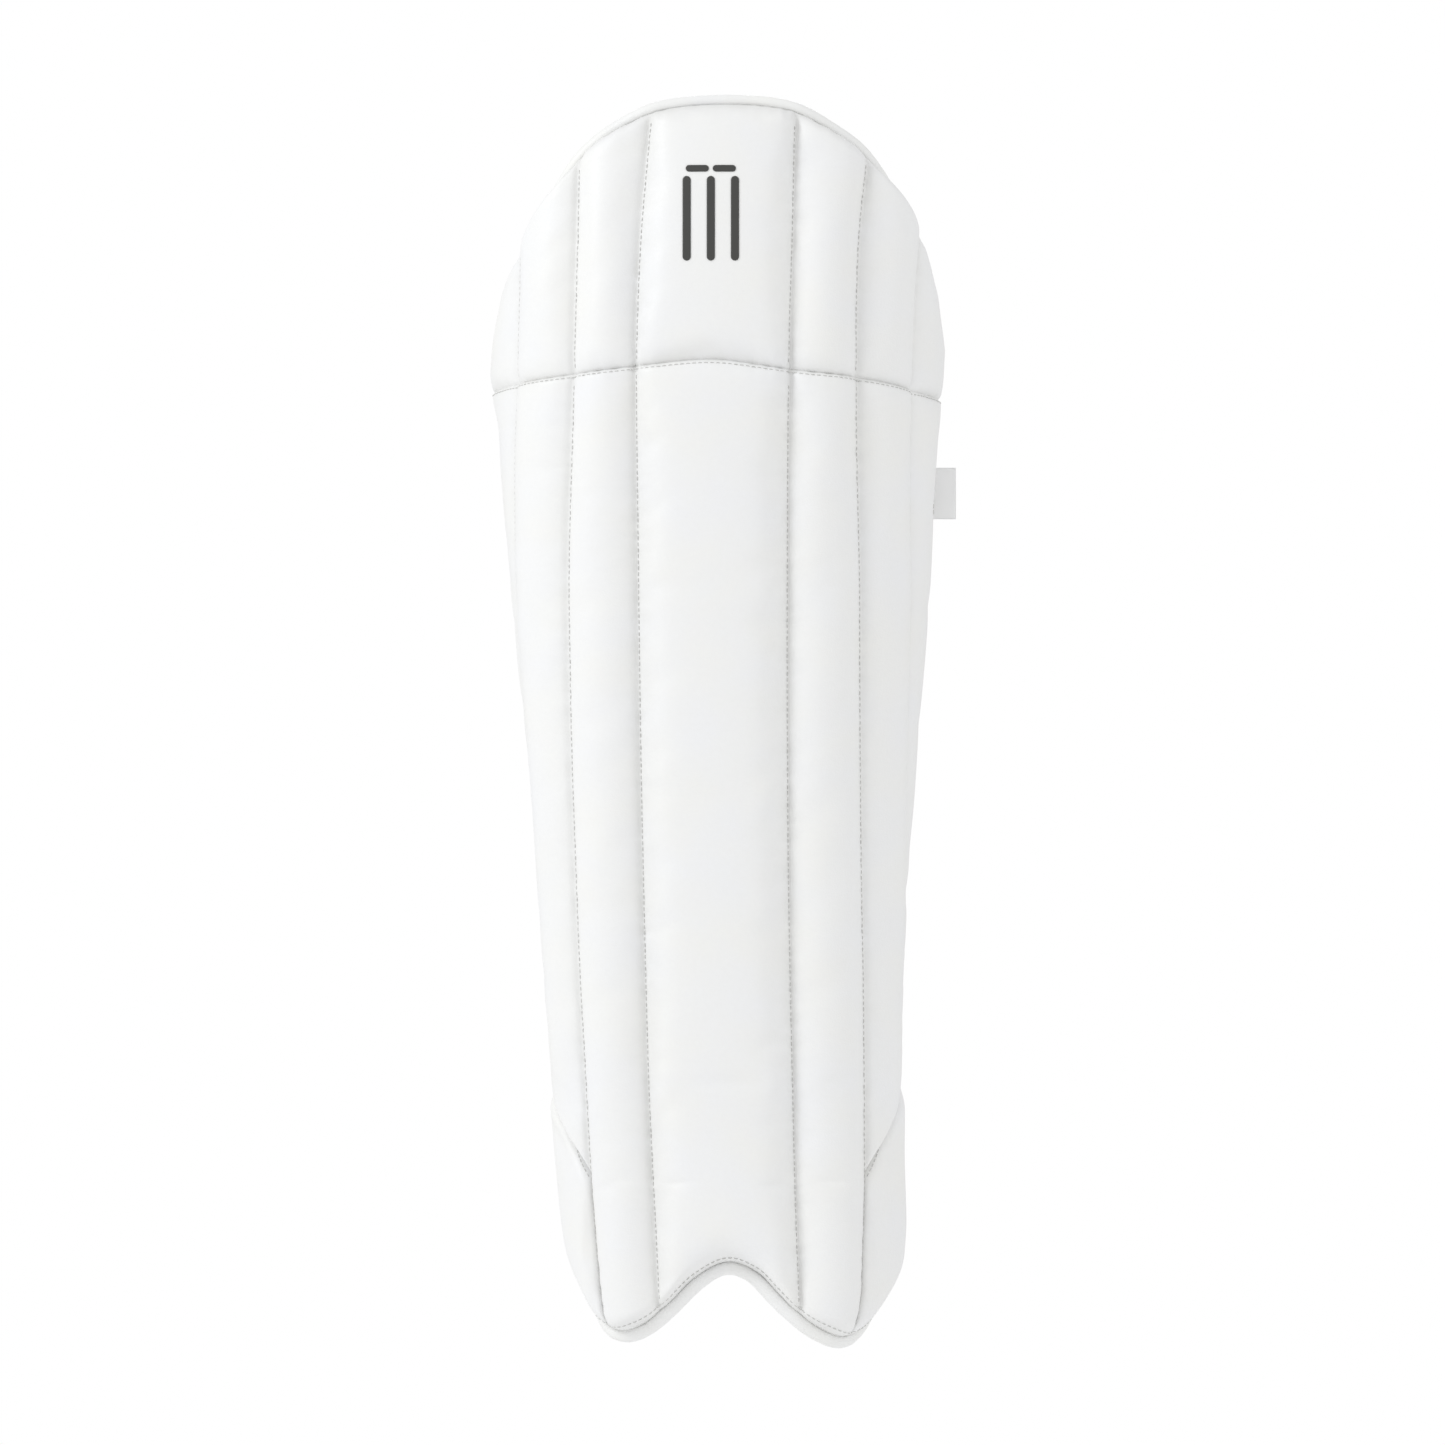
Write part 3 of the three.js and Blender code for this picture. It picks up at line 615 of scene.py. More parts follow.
def facing(name, t, rows, depth, creases, keep=None):
    """A sheet of facing over a grid of places, and the grid's vertices in use; keep picks its quads."""
    faces = grid_faces(*rows.shape)
    if keep is not None:
        faces = faces[keep[:-1, :-1].ravel()]
    used = np.unique(faces)
    index = np.full(rows.size, -1)
    index[used] = np.arange(len(used))
    vertices, uv = place(t, rows, depth).reshape(-1, 3), sheet_uv(t, rows).reshape(-1, 2)
    obj = new_object(name, vertices[used], index[faces], LEATHER, uv[used])
    set_crease_shade(obj, creases.ravel()[used])
    return obj, used


def ribbed_crease_shade(t, z, low, high):
    """Creases along a ribbed sheet's lower and upper edges and its grooves, as amounts of painted shade."""
    groove = np.abs(t - np.round(t)) * USUAL_RIB
    return np.maximum(near(np.minimum(z - low, high - z)), near(groove))


def eased(obj, moved, sewn, passes=4):
    """Averages each vertex's move with its neighbours', so that no ripple is too fine for leather."""
    a, b = read(obj.data.edges, "vertices", 2, int).T
    count = np.bincount(np.concatenate([a, b]), minlength=len(moved))[:, None]
    for _ in range(passes):
        total = np.zeros_like(moved)
        np.add.at(total, a, moved[b])
        np.add.at(total, b, moved[a])
        moved = (moved + total / count) / 2
        moved[sewn] = 0
    return moved


SPACING = 2.9
SLACK = 0.012
PRESSURE = 50.0
BENDING = 5.0
CLOTH_FRAMES = 20
CLOTH_QUALITY = 5


def inflate(obj, sewn, cap, pressure=PRESSURE, slack=SLACK):
    """Blows a sheet or a bag up with the cloth solver. Vertices in sewn are held, and none moves more than
    cap millimetres."""
    scene = bpy.context.scene
    start = coordinates(obj)
    group = obj.vertex_groups.new(name="sewn")
    group.add(np.flatnonzero(sewn).tolist(), 1.0, "REPLACE")
    cloth = obj.modifiers.new("cloth", "CLOTH")
    settings = cloth.settings
    settings.quality = CLOTH_QUALITY
    settings.vertex_group_mass = "sewn"
    settings.use_pressure = True
    settings.uniform_pressure_force = pressure
    settings.use_pressure_volume = True
    settings.target_volume = 0
    settings.shrink_min = -slack
    settings.bending_stiffness = BENDING
    settings.effector_weights.gravity = 0
    cloth.collision_settings.use_collision = False
    cloth.point_cache.frame_start, cloth.point_cache.frame_end = 1, CLOTH_FRAMES
    for number in range(CLOTH_FRAMES):
        scene.frame_set(number + 1)
    apply_modifiers(obj)
    moved = eased(obj, coordinates(obj) - start, sewn)
    length = np.linalg.norm(moved, axis=1, keepdims=True) + 1e-12
    moved *= cap * MM * np.tanh(length / (cap * MM)) / length
    move_to(obj, start + moved)
    obj.vertex_groups.clear()
    scene.frame_set(1)


def place_of(obj):
    """Where each vertex of a sheet lies on it, as its t and z."""
    uv = np.zeros((len(obj.data.vertices), 2))
    uv[read(obj.data.loops, "vertex_index", kind=int)] = read(obj.data.uv_layers[0].data, "uv", 2) / MM
    return np.interp(uv[:, 0], WIDTH_AT, np.arange(RIBS + 1)), uv[:, 1]


# Gathers: how deep the stitches draw the leather in, their pitch, and how far the draw reaches.
GROOVE_TUCK, GROOVE_PITCH, GROOVE_REACH = 0.4, 9.5, 4.5
EDGE_TUCK, EDGE_PITCH, EDGE_REACH = 0.45, 7.6, 6.5
CORNER_REACH = 5
# What sets one groove's gathers apart from the next one's, and the share of a wing that has none.
GROOVE_PHASE = 37
FREE_WING = 0.4


def tucks(along, pitch):
    """Uneven gathers from 0 to 1 along a stitched line; their length and depth wander by longer waves."""
    wander = 0.4 * np.sin(along / 13.7) + 0.25 * np.sin(along / 5.3 + 1)
    swell = 0.6 + 0.4 * np.sin(along / 17.3 + 2)
    return (0.5 + 0.5 * np.sin(2 * math.pi * along / pitch + 3 * wander)) * swell


def pucker(obj, edges):
    """Draws the leather in where its stitches gather it: along grooves and along edges, which are curves."""
    t, z = place_of(obj)
    beside_groove = from_groove(t, rib_at(t))
    inside = (t > FREE_WING) & (t < RIBS - FREE_WING)
    gathers = tucks(z + GROOVE_PHASE * np.round(t), GROOVE_PITCH) * inside
    drawn = GROOVE_TUCK * np.exp(-beside_groove / GROOVE_REACH) * gathers
    for edge in edges:
        from_edge = np.abs(z - edge(t))
        drawn += EDGE_TUCK * np.exp(-from_edge / EDGE_REACH) * tucks(across_mm(t), EDGE_PITCH)
        drawn += EDGE_TUCK * np.exp(-(from_edge + beside_groove) / CORNER_REACH)
    move_to(obj, coordinates(obj) - normals(obj) * (drawn * MM)[:, None])
    obj.data.update()
    return obj


def subdivide(obj):
    obj.modifiers.new("finer", "SUBSURF").levels = 1
    return apply_modifiers(obj)


def rows_between(low, high, length, spacing=SPACING, crowding=0.5):
    """Heights of rows from a low edge to a high one, spaced for a sheet of about the given length."""
    return low + crowded(0, 1, max(4, round(length / spacing)), crowding)[:, None] * (high - low)


ANKLE_LENGTH, SHIN_LENGTH, KNEE_LENGTH = 90, 420, 140
FACING_SWELL = 3.5


def shin_skin():
    t = sheet_columns(WING_TUCK, SPACING)
    middle = (t >= ANKLE_RIBS) & (t <= RIBS - ANKLE_RIBS)
    belt = np.where(middle, ankle_seam(ANKLE_RIBS), ankle_seam(t))
    hem, high = HEM(t) - UNDER_BINDING, SEAM(t) + OVERLAP
    lower = rows_between(hem, belt, ANKLE_LENGTH)
    rows = np.concatenate([lower, rows_between(belt, high, SHIN_LENGTH, crowding=0.3)[1:]])
    low = np.where(middle, hem, belt)
    columns = np.broadcast_to(t, rows.shape)
    depth = facing_depth(columns, rows, low, high, HEM_END, SHIN_SEAM_END)
    row = np.arange(len(rows))[:, None]
    keep = (row >= len(lower) - 1) | ((t >= ANKLE_RIBS) & (t < RIBS - ANKLE_RIBS))
    ends = (row == len(rows) - 1) | np.where(middle, row == 0, row == len(lower) - 1)
    lower_sides = ((t == ANKLE_RIBS) | (t == RIBS - ANKLE_RIBS)) & (row < len(lower))
    sewn = ends | lower_sides | (columns == np.round(columns))
    sewn[:, [0, -1]] = True
    # Painted shade along the shin facing's grooves and edges, stored as its crease attribute.
    creases = ribbed_crease_shade(columns, rows, low, high)
    obj, used = facing("shin_skin", columns, rows, depth, creases, keep)
    inflate(obj, sewn.ravel()[used], FACING_SWELL)
    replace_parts(pucker(subdivide(obj), [SEAM]), "shin_facing")
    return obj


ANKLE_RIB = 45
ANKLE_ROUND, ANKLE_END_ROUND = 15, 11
ANKLE_SWELL = 3


def ankle_skin(side, start, end):
    under_shin, under_wing = OVERLAP / RIB_WIDTHS[1], WING_TUCK / RIB_WIDTHS[0]
    start, end = (start - under_shin, end + under_wing) if start else (start - under_wing, end + under_shin)
    t = crowded(start, end, round(ANKLE_LENGTH / SPACING), 0.4)
    bottom, top = HEM(t) - UNDER_BINDING, ankle_seam(t) + 2 * OVERLAP
    rows = rows_between(bottom, top, ANKLE_LENGTH)
    columns = np.broadcast_to(t, rows.shape)
    across = np.minimum(columns - start, end - columns) * ANKLE_RIB
    along = np.minimum(rows - bottom, top - rows)
    from_wing = np.minimum(columns, RIBS - columns) * ANKLE_RIB
    held = GROOVE_HELD * quarter_round(from_wing / ANKLE_ROUND)
    full = held + (1 - held) * quarter_round(across / ANKLE_ROUND)
    full *= quarter_round(along / ANKLE_END_ROUND)
    depth = GROOVE_DEPTH - SUNK + (ANKLE_HEIGHT + SUNK - GROOVE_DEPTH) * full
    # The last value given is painted shade along the ankle panel's edges.
    obj, _ = facing(f"{side}_ankle_skin", columns, rows, depth, near(np.minimum(along, across)))
    sewn = np.ones(rows.shape, bool)
    sewn[1:-1, 1:-1] = False
    inflate(obj, sewn.ravel(), ANKLE_SWELL)
    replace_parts(subdivide(obj), f"{side}_ankle_facing")
    return obj


# Where the dome is steep, the facing runs this many times further up, at most, to stay under the binding.
STEEPEST = 2.2


def knee_skin():
    t = sheet_columns(WING_TUCK, SPACING)
    slope = np.gradient(DOME(t), t) / RIB_WIDTHS[rib_at(t)]
    top = DOME(t) + UNDER_BINDING * np.minimum(np.hypot(1, slope), STEEPEST)
    bottom = SEAM(t) - OVERLAP
    rows = rows_between(bottom, top, KNEE_LENGTH)
    columns = np.broadcast_to(t, rows.shape)
    depth = facing_depth(columns, rows, bottom, top, KNEE_SEAM_END, DOME_END)
    sewn = columns == np.round(columns)
    sewn[[0, -1]] = True
    sewn[:, [0, -1]] = True
    # The knee facing gets painted shade along its grooves, seam and dome edge.
    obj, _ = facing("knee_skin", columns, rows, depth, ribbed_crease_shade(columns, rows, SEAM(t), top))
    inflate(obj, sewn.ravel(), FACING_SWELL)
    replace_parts(pucker(subdivide(obj), [SEAM, DOME]), "knee_facing")
    return obj


LINING_SPACING = 4.0
LINING_CLOTH_THICKNESS = 1.2
LINING_ROUND, LINING_END_ROUND, LINING_EDGE_ROUND = 8, 6, 4


def lining(section, bottom, top, tucked):
    """The lining behind a section: stitched down along the grooves, slightly full between them, and tucked
    under the binding. tucked says how far its lower and upper edges run past their curves."""
    t = sheet_columns(LINING_TUCK, LINING_SPACING)
    low, high = bottom(t) - tucked[0], top(t) + tucked[1]
    rows = rows_between(low, high, (high - low).max(), LINING_SPACING, 0.3)
    columns = np.broadcast_to(t, rows.shape)
    along = np.minimum(rows - low, high - rows)
    across = np.maximum(from_groove(columns, rib_at(columns)), 0)
    from_side = np.minimum(columns, RIBS - columns) * RIB_WIDTHS[0] + LINING_TUCK
    under = quarter_round(np.minimum(from_side, along) / LINING_EDGE_ROUND)
    full = quarter_round(across / LINING_ROUND) * quarter_round(along / LINING_END_ROUND)
    vertices = place(columns, rows, LINING_FACE - 0.7 - 0.8 * under - 1.3 * full)
    obj = new_object(f"{section}_lining_cloth", vertices, grid_faces(*rows.shape)[:, ::-1], LINING_CLOTH,
                     sheet_uv(columns, rows))
    thicken(subdivide(obj), LINING_CLOTH_THICKNESS)
    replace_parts(obj, f"{section}_lining")
    return obj


# ---- Bindings ----

EDGE_DEPTH = (GROOVE_DEPTH - LINING + LINING_FACE) / 2
CORD_SPACING = 1.8
CORD_SIDES = 18
EASING = 10
# A binding's unevenness, as (share of its radius, wavelength).
RIPPLES = ((0.02, 23), (0.012, 7.3))


def binding(name, node, places, side_radius, front_radius, overlap):
    """A stuffed leather binding along an edge, given as (t, z) places with the pad on their left."""
    t, z = np.array(places).T
    edge = place(t, z, EDGE_DEPTH)
    front = unit(place(t, z, EDGE_DEPTH + 1) - edge)
    away = unit(np.cross(tangents(edge), front))
    centre = edge + away * (side_radius - overlap) * MM
    even, fronts = (ease(line, EASING) for line in resample(centre, CORD_SPACING * MM, front))
    run = np.linspace(0, run_along(centre)[-1] / MM, len(even))
    swell = 1 + sum(share * np.sin(2 * math.pi * run / wave) for share, wave in RIPPLES)
    angle = np.linspace(0, 2 * math.pi, CORD_SIDES, endpoint=False)
    oval = pairs(side_radius * np.cos(angle), front_radius * np.sin(angle))
    obj = tube(name, even, fronts, oval * swell[:, None, None] * MM, CORD_LEATHER)
    # Painted shade on the side of the binding that meets the panel, where shade falls.
    set_crease_shade(obj, np.tile(near((1 + np.cos(angle)) * 3, 0.8), (len(even), 1)))
    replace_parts(obj, node)
    return obj


WING_POINTS, CURVE_POINTS, SHORT_POINTS = 40, 281, 8


def hem_binding():
    down = [(0, z) for z in np.linspace(SEAM(0), HEM(0) + 2, WING_POINTS)]
    bottom = [(t, HEM(t)) for t in np.linspace(0, RIBS, CURVE_POINTS)[2:-2]]
    up = [(RIBS, z) for z in np.linspace(HEM(RIBS) + 2, SEAM(RIBS), WING_POINTS)]
    return binding("hem_binding", "hem_piping", down + bottom + up, 4.1, 3.7, 0.5)


def dome_binding():
    up = [(RIBS, z) for z in np.linspace(SEAM(RIBS), DOME(RIBS), SHORT_POINTS)[:-1]]
    over = [(t, DOME(t)) for t in np.linspace(RIBS, 0, CURVE_POINTS)]
    down = [(0, z) for z in np.linspace(DOME(0), SEAM(0), SHORT_POINTS)[1:]]
    return binding("dome_binding", "knee_piping", up + over + down, 3.2, 2.7, 0.2)


# ---- Hanging pieces on the bodies ----


def hang(obj, body=SHIN):
    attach(obj, body)


def hang_on_knee(obj):
    """Bakes the transform of a piece of the knee section into its mesh."""
    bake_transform(obj)


def copied(name, node, material):
    """A copy of a CAD solid with its own name and look, which stands for it."""
    obj = add_object(name, frame["nodes"][node].data.copy())
    obj.data.materials.clear()
    obj.data.materials.append(material)
    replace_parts(obj, node)
    return obj


# The look of each kind of inner piece, and a slot name in the record, which nothing reads.
FILLINGS = {"foam": (FOAM, "foam_sheet"), "backing": (FOAM, "foam_sheet"), "canes": (CANE, "cane")}


def fillings():
    """Gives the inner pieces their looks. The knee section's are copies."""
    for node, obj in frame["nodes"].items():
        material, slot = FILLINGS.get(node.split("_")[-1], (None, None))
        if material and node.startswith("knee_"):
            hang_on_knee(copied(f"{node}_piece", node, material))
        elif material:
            for carrier in obj.material_slots:
                carrier.material = material


# ---- Stuffed rolls ----

ROLL_CHANNELS = (-41, -16, 10, 36)
BOLSTER_CHANNELS = (155, 245, 335)
CHANNEL_WIDTH = 4.0
ROLL_PRESSURE = 6.0
ROLL_SLACK = 0.02
HELD_FACES = 0.75


def stuffed(name, node, channels, along="z", depth=7.0, voxel=3.2, cap=5.5, held=(0, -1, 0)):
    """A stuffed roll made from a CAD solid: remeshed, blown up while its faces towards held stay put, then
    drawn in at its channels, which are places along one axis."""
    obj = copied(name, node, ROLL_CLOTH)
    even = obj.modifiers.new("even", "REMESH")
    even.mode = "VOXEL"
    even.voxel_size = voxel * MM
    even.use_smooth_shade = True
    apply_modifiers(obj)
    held, axis = np.array(held), "xyz".index(along)
    inflate(obj, normals(obj) @ held > HELD_FACES, cap, ROLL_PRESSURE, ROLL_SLACK)
    points, free = coordinates(obj), np.clip(0.3 - normals(obj) @ held, 0, 1)
    for channel in channels:
        from_channel = (points[:, axis] - in_frame(channel, axis)) / MM
        points += held * (depth * MM * np.exp(-((from_channel / CHANNEL_WIDTH) ** 2)) * free)[:, None]
    move_to(obj, points)
    return subdivide(obj)


def rolls():
    for side in ("inner", "outer"):
        hang(stuffed(f"{side}_shin_roll", f"{side}_shin_bolster", BOLSTER_CHANNELS))
    hang(stuffed("lower_knee_roll", "lower_knee_bolster", ROLL_CHANNELS, "x"))
    hang_on_knee(stuffed("knee_cradle_roll", "knee_cradle", ROLL_CHANNELS, "x"))
    pad = stuffed("calf_pad", "calf_strap_pad", [STRAP_LEVELS["calf"]], depth=2, voxel=3.0, cap=3.0,
                  held=(0, 1, 0))
    hang(pad, "calf_wrap")


# ---- Straps ----

LAYERS = {"strap": 2.2, "hook": 1, "loop": 1, "tab": 2}
LAYER_GAP = 0.5
SEWN_GAP = 0.8
SEWN_LENGTH = 0.4
STEP = 2.0
BEND_EASING = 6


def layer_faces():
    """Where each layer of a closed strap has its two faces, from the strap's line, from outside inwards."""
    faces, outside = {}, LAYERS["strap"] / 2
    for name, thickness in LAYERS.items():
        faces[name] = (outside - thickness, outside)
        outside -= thickness + LAYER_GAP
    return faces


LAYER_FACES = layer_faces()


def sewn_depth(layer):
    return LINING_FACE - LINING - SEWN_GAP - LAYER_FACES[layer][1]


def sewn_line(start, end, layer):
    """The part of a strap that is sewn behind a wing: plan points at each height."""
    places = np.linspace(start, end, max(2, round(abs(end - start) * RIB_WIDTHS[0] / STEP)))
    return lambda z: place(places[None], z[:, None], sewn_depth(layer))[..., :2]


def loop_line(start, end):
    """Half an ellipse round the back of the leg: bearings run from 0 at the outer root to 180."""
    bearings = np.radians(np.linspace(start, end, max(3, round(abs(end - start)))))[None, :, None]

    def line(z):
        outer = place(RIBS + ROOT_BEYOND, z, sewn_depth("tab"))[:, None, :2]
        inner = place(-ROOT_BEYOND, z, sewn_depth("strap"))[:, None, :2]
        reach = (outer - inner) / 2
        behind = np.array([0, STRAP_REACH * MM])
        return (outer + inner) / 2 + reach * np.cos(bearings) + behind * np.sin(bearings)

    return line


def joined(*lines):
    """One line made of several, with the bends between them eased."""
    def line(z):
        return ease(np.concatenate([part(z) for part in lines], 1), BEND_EASING)

    return line


def beside(points, distance):
    """Plan points moved to the right of the way that their line runs."""
    along = unit(np.gradient(points, axis=1))
    return points + pairs(along[..., 1], -along[..., 0]) * distance


RIBBON_ROWS, RIBBON_ARC = 15, 5


def ribbon(name, line, layer, level, material, width=STRAP_WIDTH):
    """A ribbon that stands on its edge along a line, in one of the strap's layers, with round edges."""
    inside, outside = LAYER_FACES[layer]
    half = (outside - inside) / 2
    flat = width / 2 - half
    turn = np.radians(np.linspace(-60, 60, RIBBON_ARC))
    up = pairs(half, np.linspace(-1, 1, RIBBON_ROWS) * flat)
    top = pairs(-np.sin(turn), np.cos(turn)) * half + (0, flat)
    offsets, heights = np.concatenate([up, top, -up, -top]).T
    z = level + heights
    points = beside(line(z), (offsets + inside + half)[:, None, None] * MM)
    rise = np.broadcast_to(in_frame(z)[:, None, None], (*points.shape[:2], 1))
    rings = np.concatenate([points, rise], 2).transpose(1, 0, 2)
    faces = [face[::-1] for face in tube_faces(*rings.shape[:2])]
    uv = pairs(run_along(line(np.array([level]))[0])[:, None], heights * MM)
    return new_object(name, rings, faces, material, uv)


# A strap's pieces, as the bearings between which each one runs round the leg.
STRAP_RUN, TIP_RUN, HOOK_RUN, LOOP_RUN, TAB_RUN = (22, 179), (13, 22.6), (23, 58), (20, 60), (1, 62)
PATCH_MARGIN = 2
TIP_OVERHANG = 0.6
STITCH_MARGIN = 4
STITCH_BOX = (0.05, 0.36)


def box_stitches(level):
    """Boxes and crosses that hold a strap's sewn end and its tab."""
    reach = STRAP_WIDTH / 2 - STITCH_MARGIN
    share = np.linspace(0, 1, 12)[:, None]
    near_side, far_side = STITCH_BOX
    lines = []
    for low, high, layer in ((near_side, far_side, "strap"), (RIBS - far_side, RIBS - near_side, "tab")):
        depth = sewn_depth(layer) + LAYER_FACES[layer][0]
        corners = np.array([(low, -reach), (high, -reach), (high, reach), (low, reach)])
        for path in ([0, 1, 2, 3, 0, 2], [1, 3]):
            for start, end in zip(corners[path], corners[path[1:]]):
                t, above = (start + (end - start) * share).T
                points = place(t, level + above, depth)
                lines.append((points, unit(place(t, level + above, depth - 1) - points)))
    return lines


def patch_stitches(level):
    """Rows on the strap's outside that hold its hook patch."""
    lines = []
    for side in (-1, 1):
        z = np.array([level + side * (STRAP_WIDTH / 2 - STITCH_MARGIN)])
        path = loop_line(*HOOK_RUN)(z)
        points, further = (beside(path, out * MM)[0] for out in (LAYER_FACES["strap"][1], 3))
        rise = np.full((len(points), 1), in_frame(z[0]))
        outward = unit(np.concatenate([further - points, 0 * rise], 1))
        lines.append((np.concatenate([points, rise], 1), outward))
    return lines


def add_strap(name, level):
    wrap = f"{name}_wrap"
    run = joined(loop_line(*STRAP_RUN), sewn_line(-ROOT_BEYOND, SEWN_LENGTH, "strap"))
    strap = ribbon(f"{name}_strap_webbing", run, "strap", level, WEBBING)
    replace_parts(strap, f"{name}_strap", f"{name}_strap_anchor")
    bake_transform(strap)

    def piece(part, node, line, layer, material, body, width=STRAP_WIDTH):
        obj = ribbon(f"{name}_{part}", line, layer, level, material, width)
        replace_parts(obj, f"{name}_{node}")
        hang(obj, body)

    piece("strap_end_piece", "strap_tip", loop_line(*TIP_RUN), "strap", CORD_LEATHER,
          wrap, STRAP_WIDTH + TIP_OVERHANG)
    narrow = STRAP_WIDTH - 2 * PATCH_MARGIN
    for part, run, material, body in (("hook", HOOK_RUN, HOOKS, wrap), ("loop", LOOP_RUN, LOOPS, SHIN)):
        piece(f"{part}_patch_piece", f"{part}_patch", loop_line(*run), part, material,
              body, narrow)
    tab = joined(sewn_line(RIBS - SEWN_LENGTH, RIBS + ROOT_BEYOND, "tab"), loop_line(*TAB_RUN))
    piece("strap_tab_piece", "strap_tab", tab, "tab", WEBBING, SHIN)
    hang(stitches(f"{name}_strap_box_stitches", box_stitches(level)))
    hang(stitches(f"{name}_strap_patch_stitches", patch_stitches(level)), wrap)


# ---- Stitching, print and label on the facing ----

STITCH_OFFSET = 1.1
STITCH_STEP = 4.0
STEPS_PER_RIB = 20
RAY_DEPTH = 45


class Surface:
    """The outside of finished pieces, for laying things on it."""

    def __init__(self, *objects):
        vertices, polygons = [], []
        for obj in objects:
            base = len(vertices)
            vertices += [vertex.co.copy() for vertex in obj.data.vertices]
            polygons += [[base + i for i in polygon.vertices] for polygon in obj.data.polygons]
        self.tree = BVHTree.FromPolygons(vertices, polygons)

    def hit(self, origin, way):
        point, normal, _, _ = self.tree.ray_cast(Vector(origin), Vector(way).normalized())
        return point, normal

    def line(self, t, z):
        """Points and normals where places on the sheet meet the surface; those that miss it are left out."""
        outside, inside = place(t, z, RAY_DEPTH), place(t, z, 0)
        found = [self.hit(a, b - a) for a, b in zip(outside, inside)]
        found = [(point, normal) for point, normal in found if point is not None]
        return np.array([point for point, _ in found]), np.array([normal for _, normal in found])


def groove_lines(surface, low, high, margin):
    """The stitch line beside each groove, on its side towards the centre."""
    lines = []
    for groove in range(1, RIBS):
        inner = groove <= RIBS // 2
        rib = groove if inner else groove - 1
        t = groove + (1 if inner else -1) * STITCH_OFFSET / RIB_WIDTHS[rib]
        z = np.arange(low(groove) + margin, high(groove) - margin, STITCH_STEP)
        lines.append(surface.line(np.full(len(z), t), z))
    return lines


def edge_line(surface, edge, start, end, offset):
    """A stitch line beside an edge, offset upwards in millimetres."""
    t = np.linspace(start, end, int((end - start) * STEPS_PER_RIB) + 2)
    return surface.line(t, edge(t) + offset)


# A plain print of three stumps with two bails on them, each a bar of a given width and height.
EMBLEM_X, EMBLEM_Z = -4.75, 590.0
STUMP = (4.2, 44.0)
STUMP_SPACING = 12.5
STUMP_DROP = 4
BAIL = (12.0, 3.4)
BAIL_GAP = 2
INK_DEPTH = 0.35
INK_SUNK = 0.1
BAR_ARC, BAR_COLUMNS = 6, 7
NARROWEST = 0.02
IN_FRONT = -300


def rounded_bar(surface, centre, size):
    """The places of a bar with round ends, printed on the surface seen from the front."""
    radius, half = min(size) / 2, max(size) / 2
    turn = np.linspace(0, math.pi / 2, BAR_ARC)
    cap = half - radius + radius * np.sin(turn)
    middle = np.linspace(radius - half, half - radius, int(half))[1:-1]
    lengths = np.concatenate([-cap[::-1], middle, cap])
    widths = radius * np.concatenate([np.cos(turn[::-1]), np.ones(len(middle)), np.cos(turn)])
    points = []
    for length, width in zip(lengths, np.maximum(widths, NARROWEST)):
        for across in np.linspace(-width, width, BAR_COLUMNS):
            x, z = (across, length) if size[1] > size[0] else (length, -across)
            start = (in_frame(centre[0] + x, 0), IN_FRONT * MM, in_frame(centre[1] + z))
            point, normal = surface.hit(start, (0, 1, 0))
            points.append(point + normal * INK_DEPTH * MM)
    return points


def emblem(surface):
    low, high = EMBLEM_Z - STUMP_DROP, EMBLEM_Z + STUMP[1] / 2
    bars = [((EMBLEM_X + side * STUMP_SPACING, low), STUMP) for side in (-1, 0, 1)]
    bars += [((EMBLEM_X + side * (BAIL[0] + BAIL_GAP), high), BAIL) for side in (-0.5, 0.5)]
    vertices, faces = [], []
    for centre, size in bars:
        points = rounded_bar(surface, centre, size)
        faces += (grid_faces(len(points) // BAR_COLUMNS, BAR_COLUMNS) + len(vertices)).tolist()
        vertices += points
    return thicken(new_object("emblem_print", vertices, faces, INK), INK_DEPTH + INK_SUNK)


LABEL_ROOM = 0.4
LABEL_THICKNESS = 0.5
LABEL_BOW = 0.5
LABEL_COLUMNS, LABEL_ROWS = 16, 28
LABEL_WEAVE = (14.5, 27.0)
LABEL_STITCH_COLUMN = 2


def side_label():
    """The folded cloth label on the outer wing's edge, bowed a little, with a stitched root."""
    low, high = (np.array(corner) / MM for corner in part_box("side_tag"))
    u, v = np.meshgrid(np.linspace(0, 1, LABEL_COLUMNS), np.linspace(0, 1, LABEL_ROWS))
    x = low[0] + LABEL_ROOM + u * (high[0] - low[0] - LABEL_ROOM)
    z = low[2] + v * (high[2] - low[2])
    y = (low[1] + high[1]) / 2 - LABEL_BOW * np.sin(math.pi * u) * (1 + 0.4 * np.sin(5 * v))
    points, uv = pairs(x, y, z) * MM, pairs(u, v) * LABEL_WEAVE * MM
    label = new_object("side_label", points, grid_faces(LABEL_ROWS, LABEL_COLUMNS), LABEL_CLOTH, uv)
    thicken(label, LABEL_THICKNESS, 0)
    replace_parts(label, "side_tag")
    hang(label, "tag")
    row = points[2:-2, LABEL_STITCH_COLUMN] + np.array([0, -0.3, 0]) * MM
    outward = np.tile((0, -1.0, 0), (len(row), 1))
    hang(stitches("label_stitches", [(row, outward)]), "tag")


GUARD_SPAN = (2.5, 4.5)
GUARD_LOW, GUARD_HIGH = 1, 24
GUARD_DEPTH = -3.4
GUARD_THICKNESS = 1.0


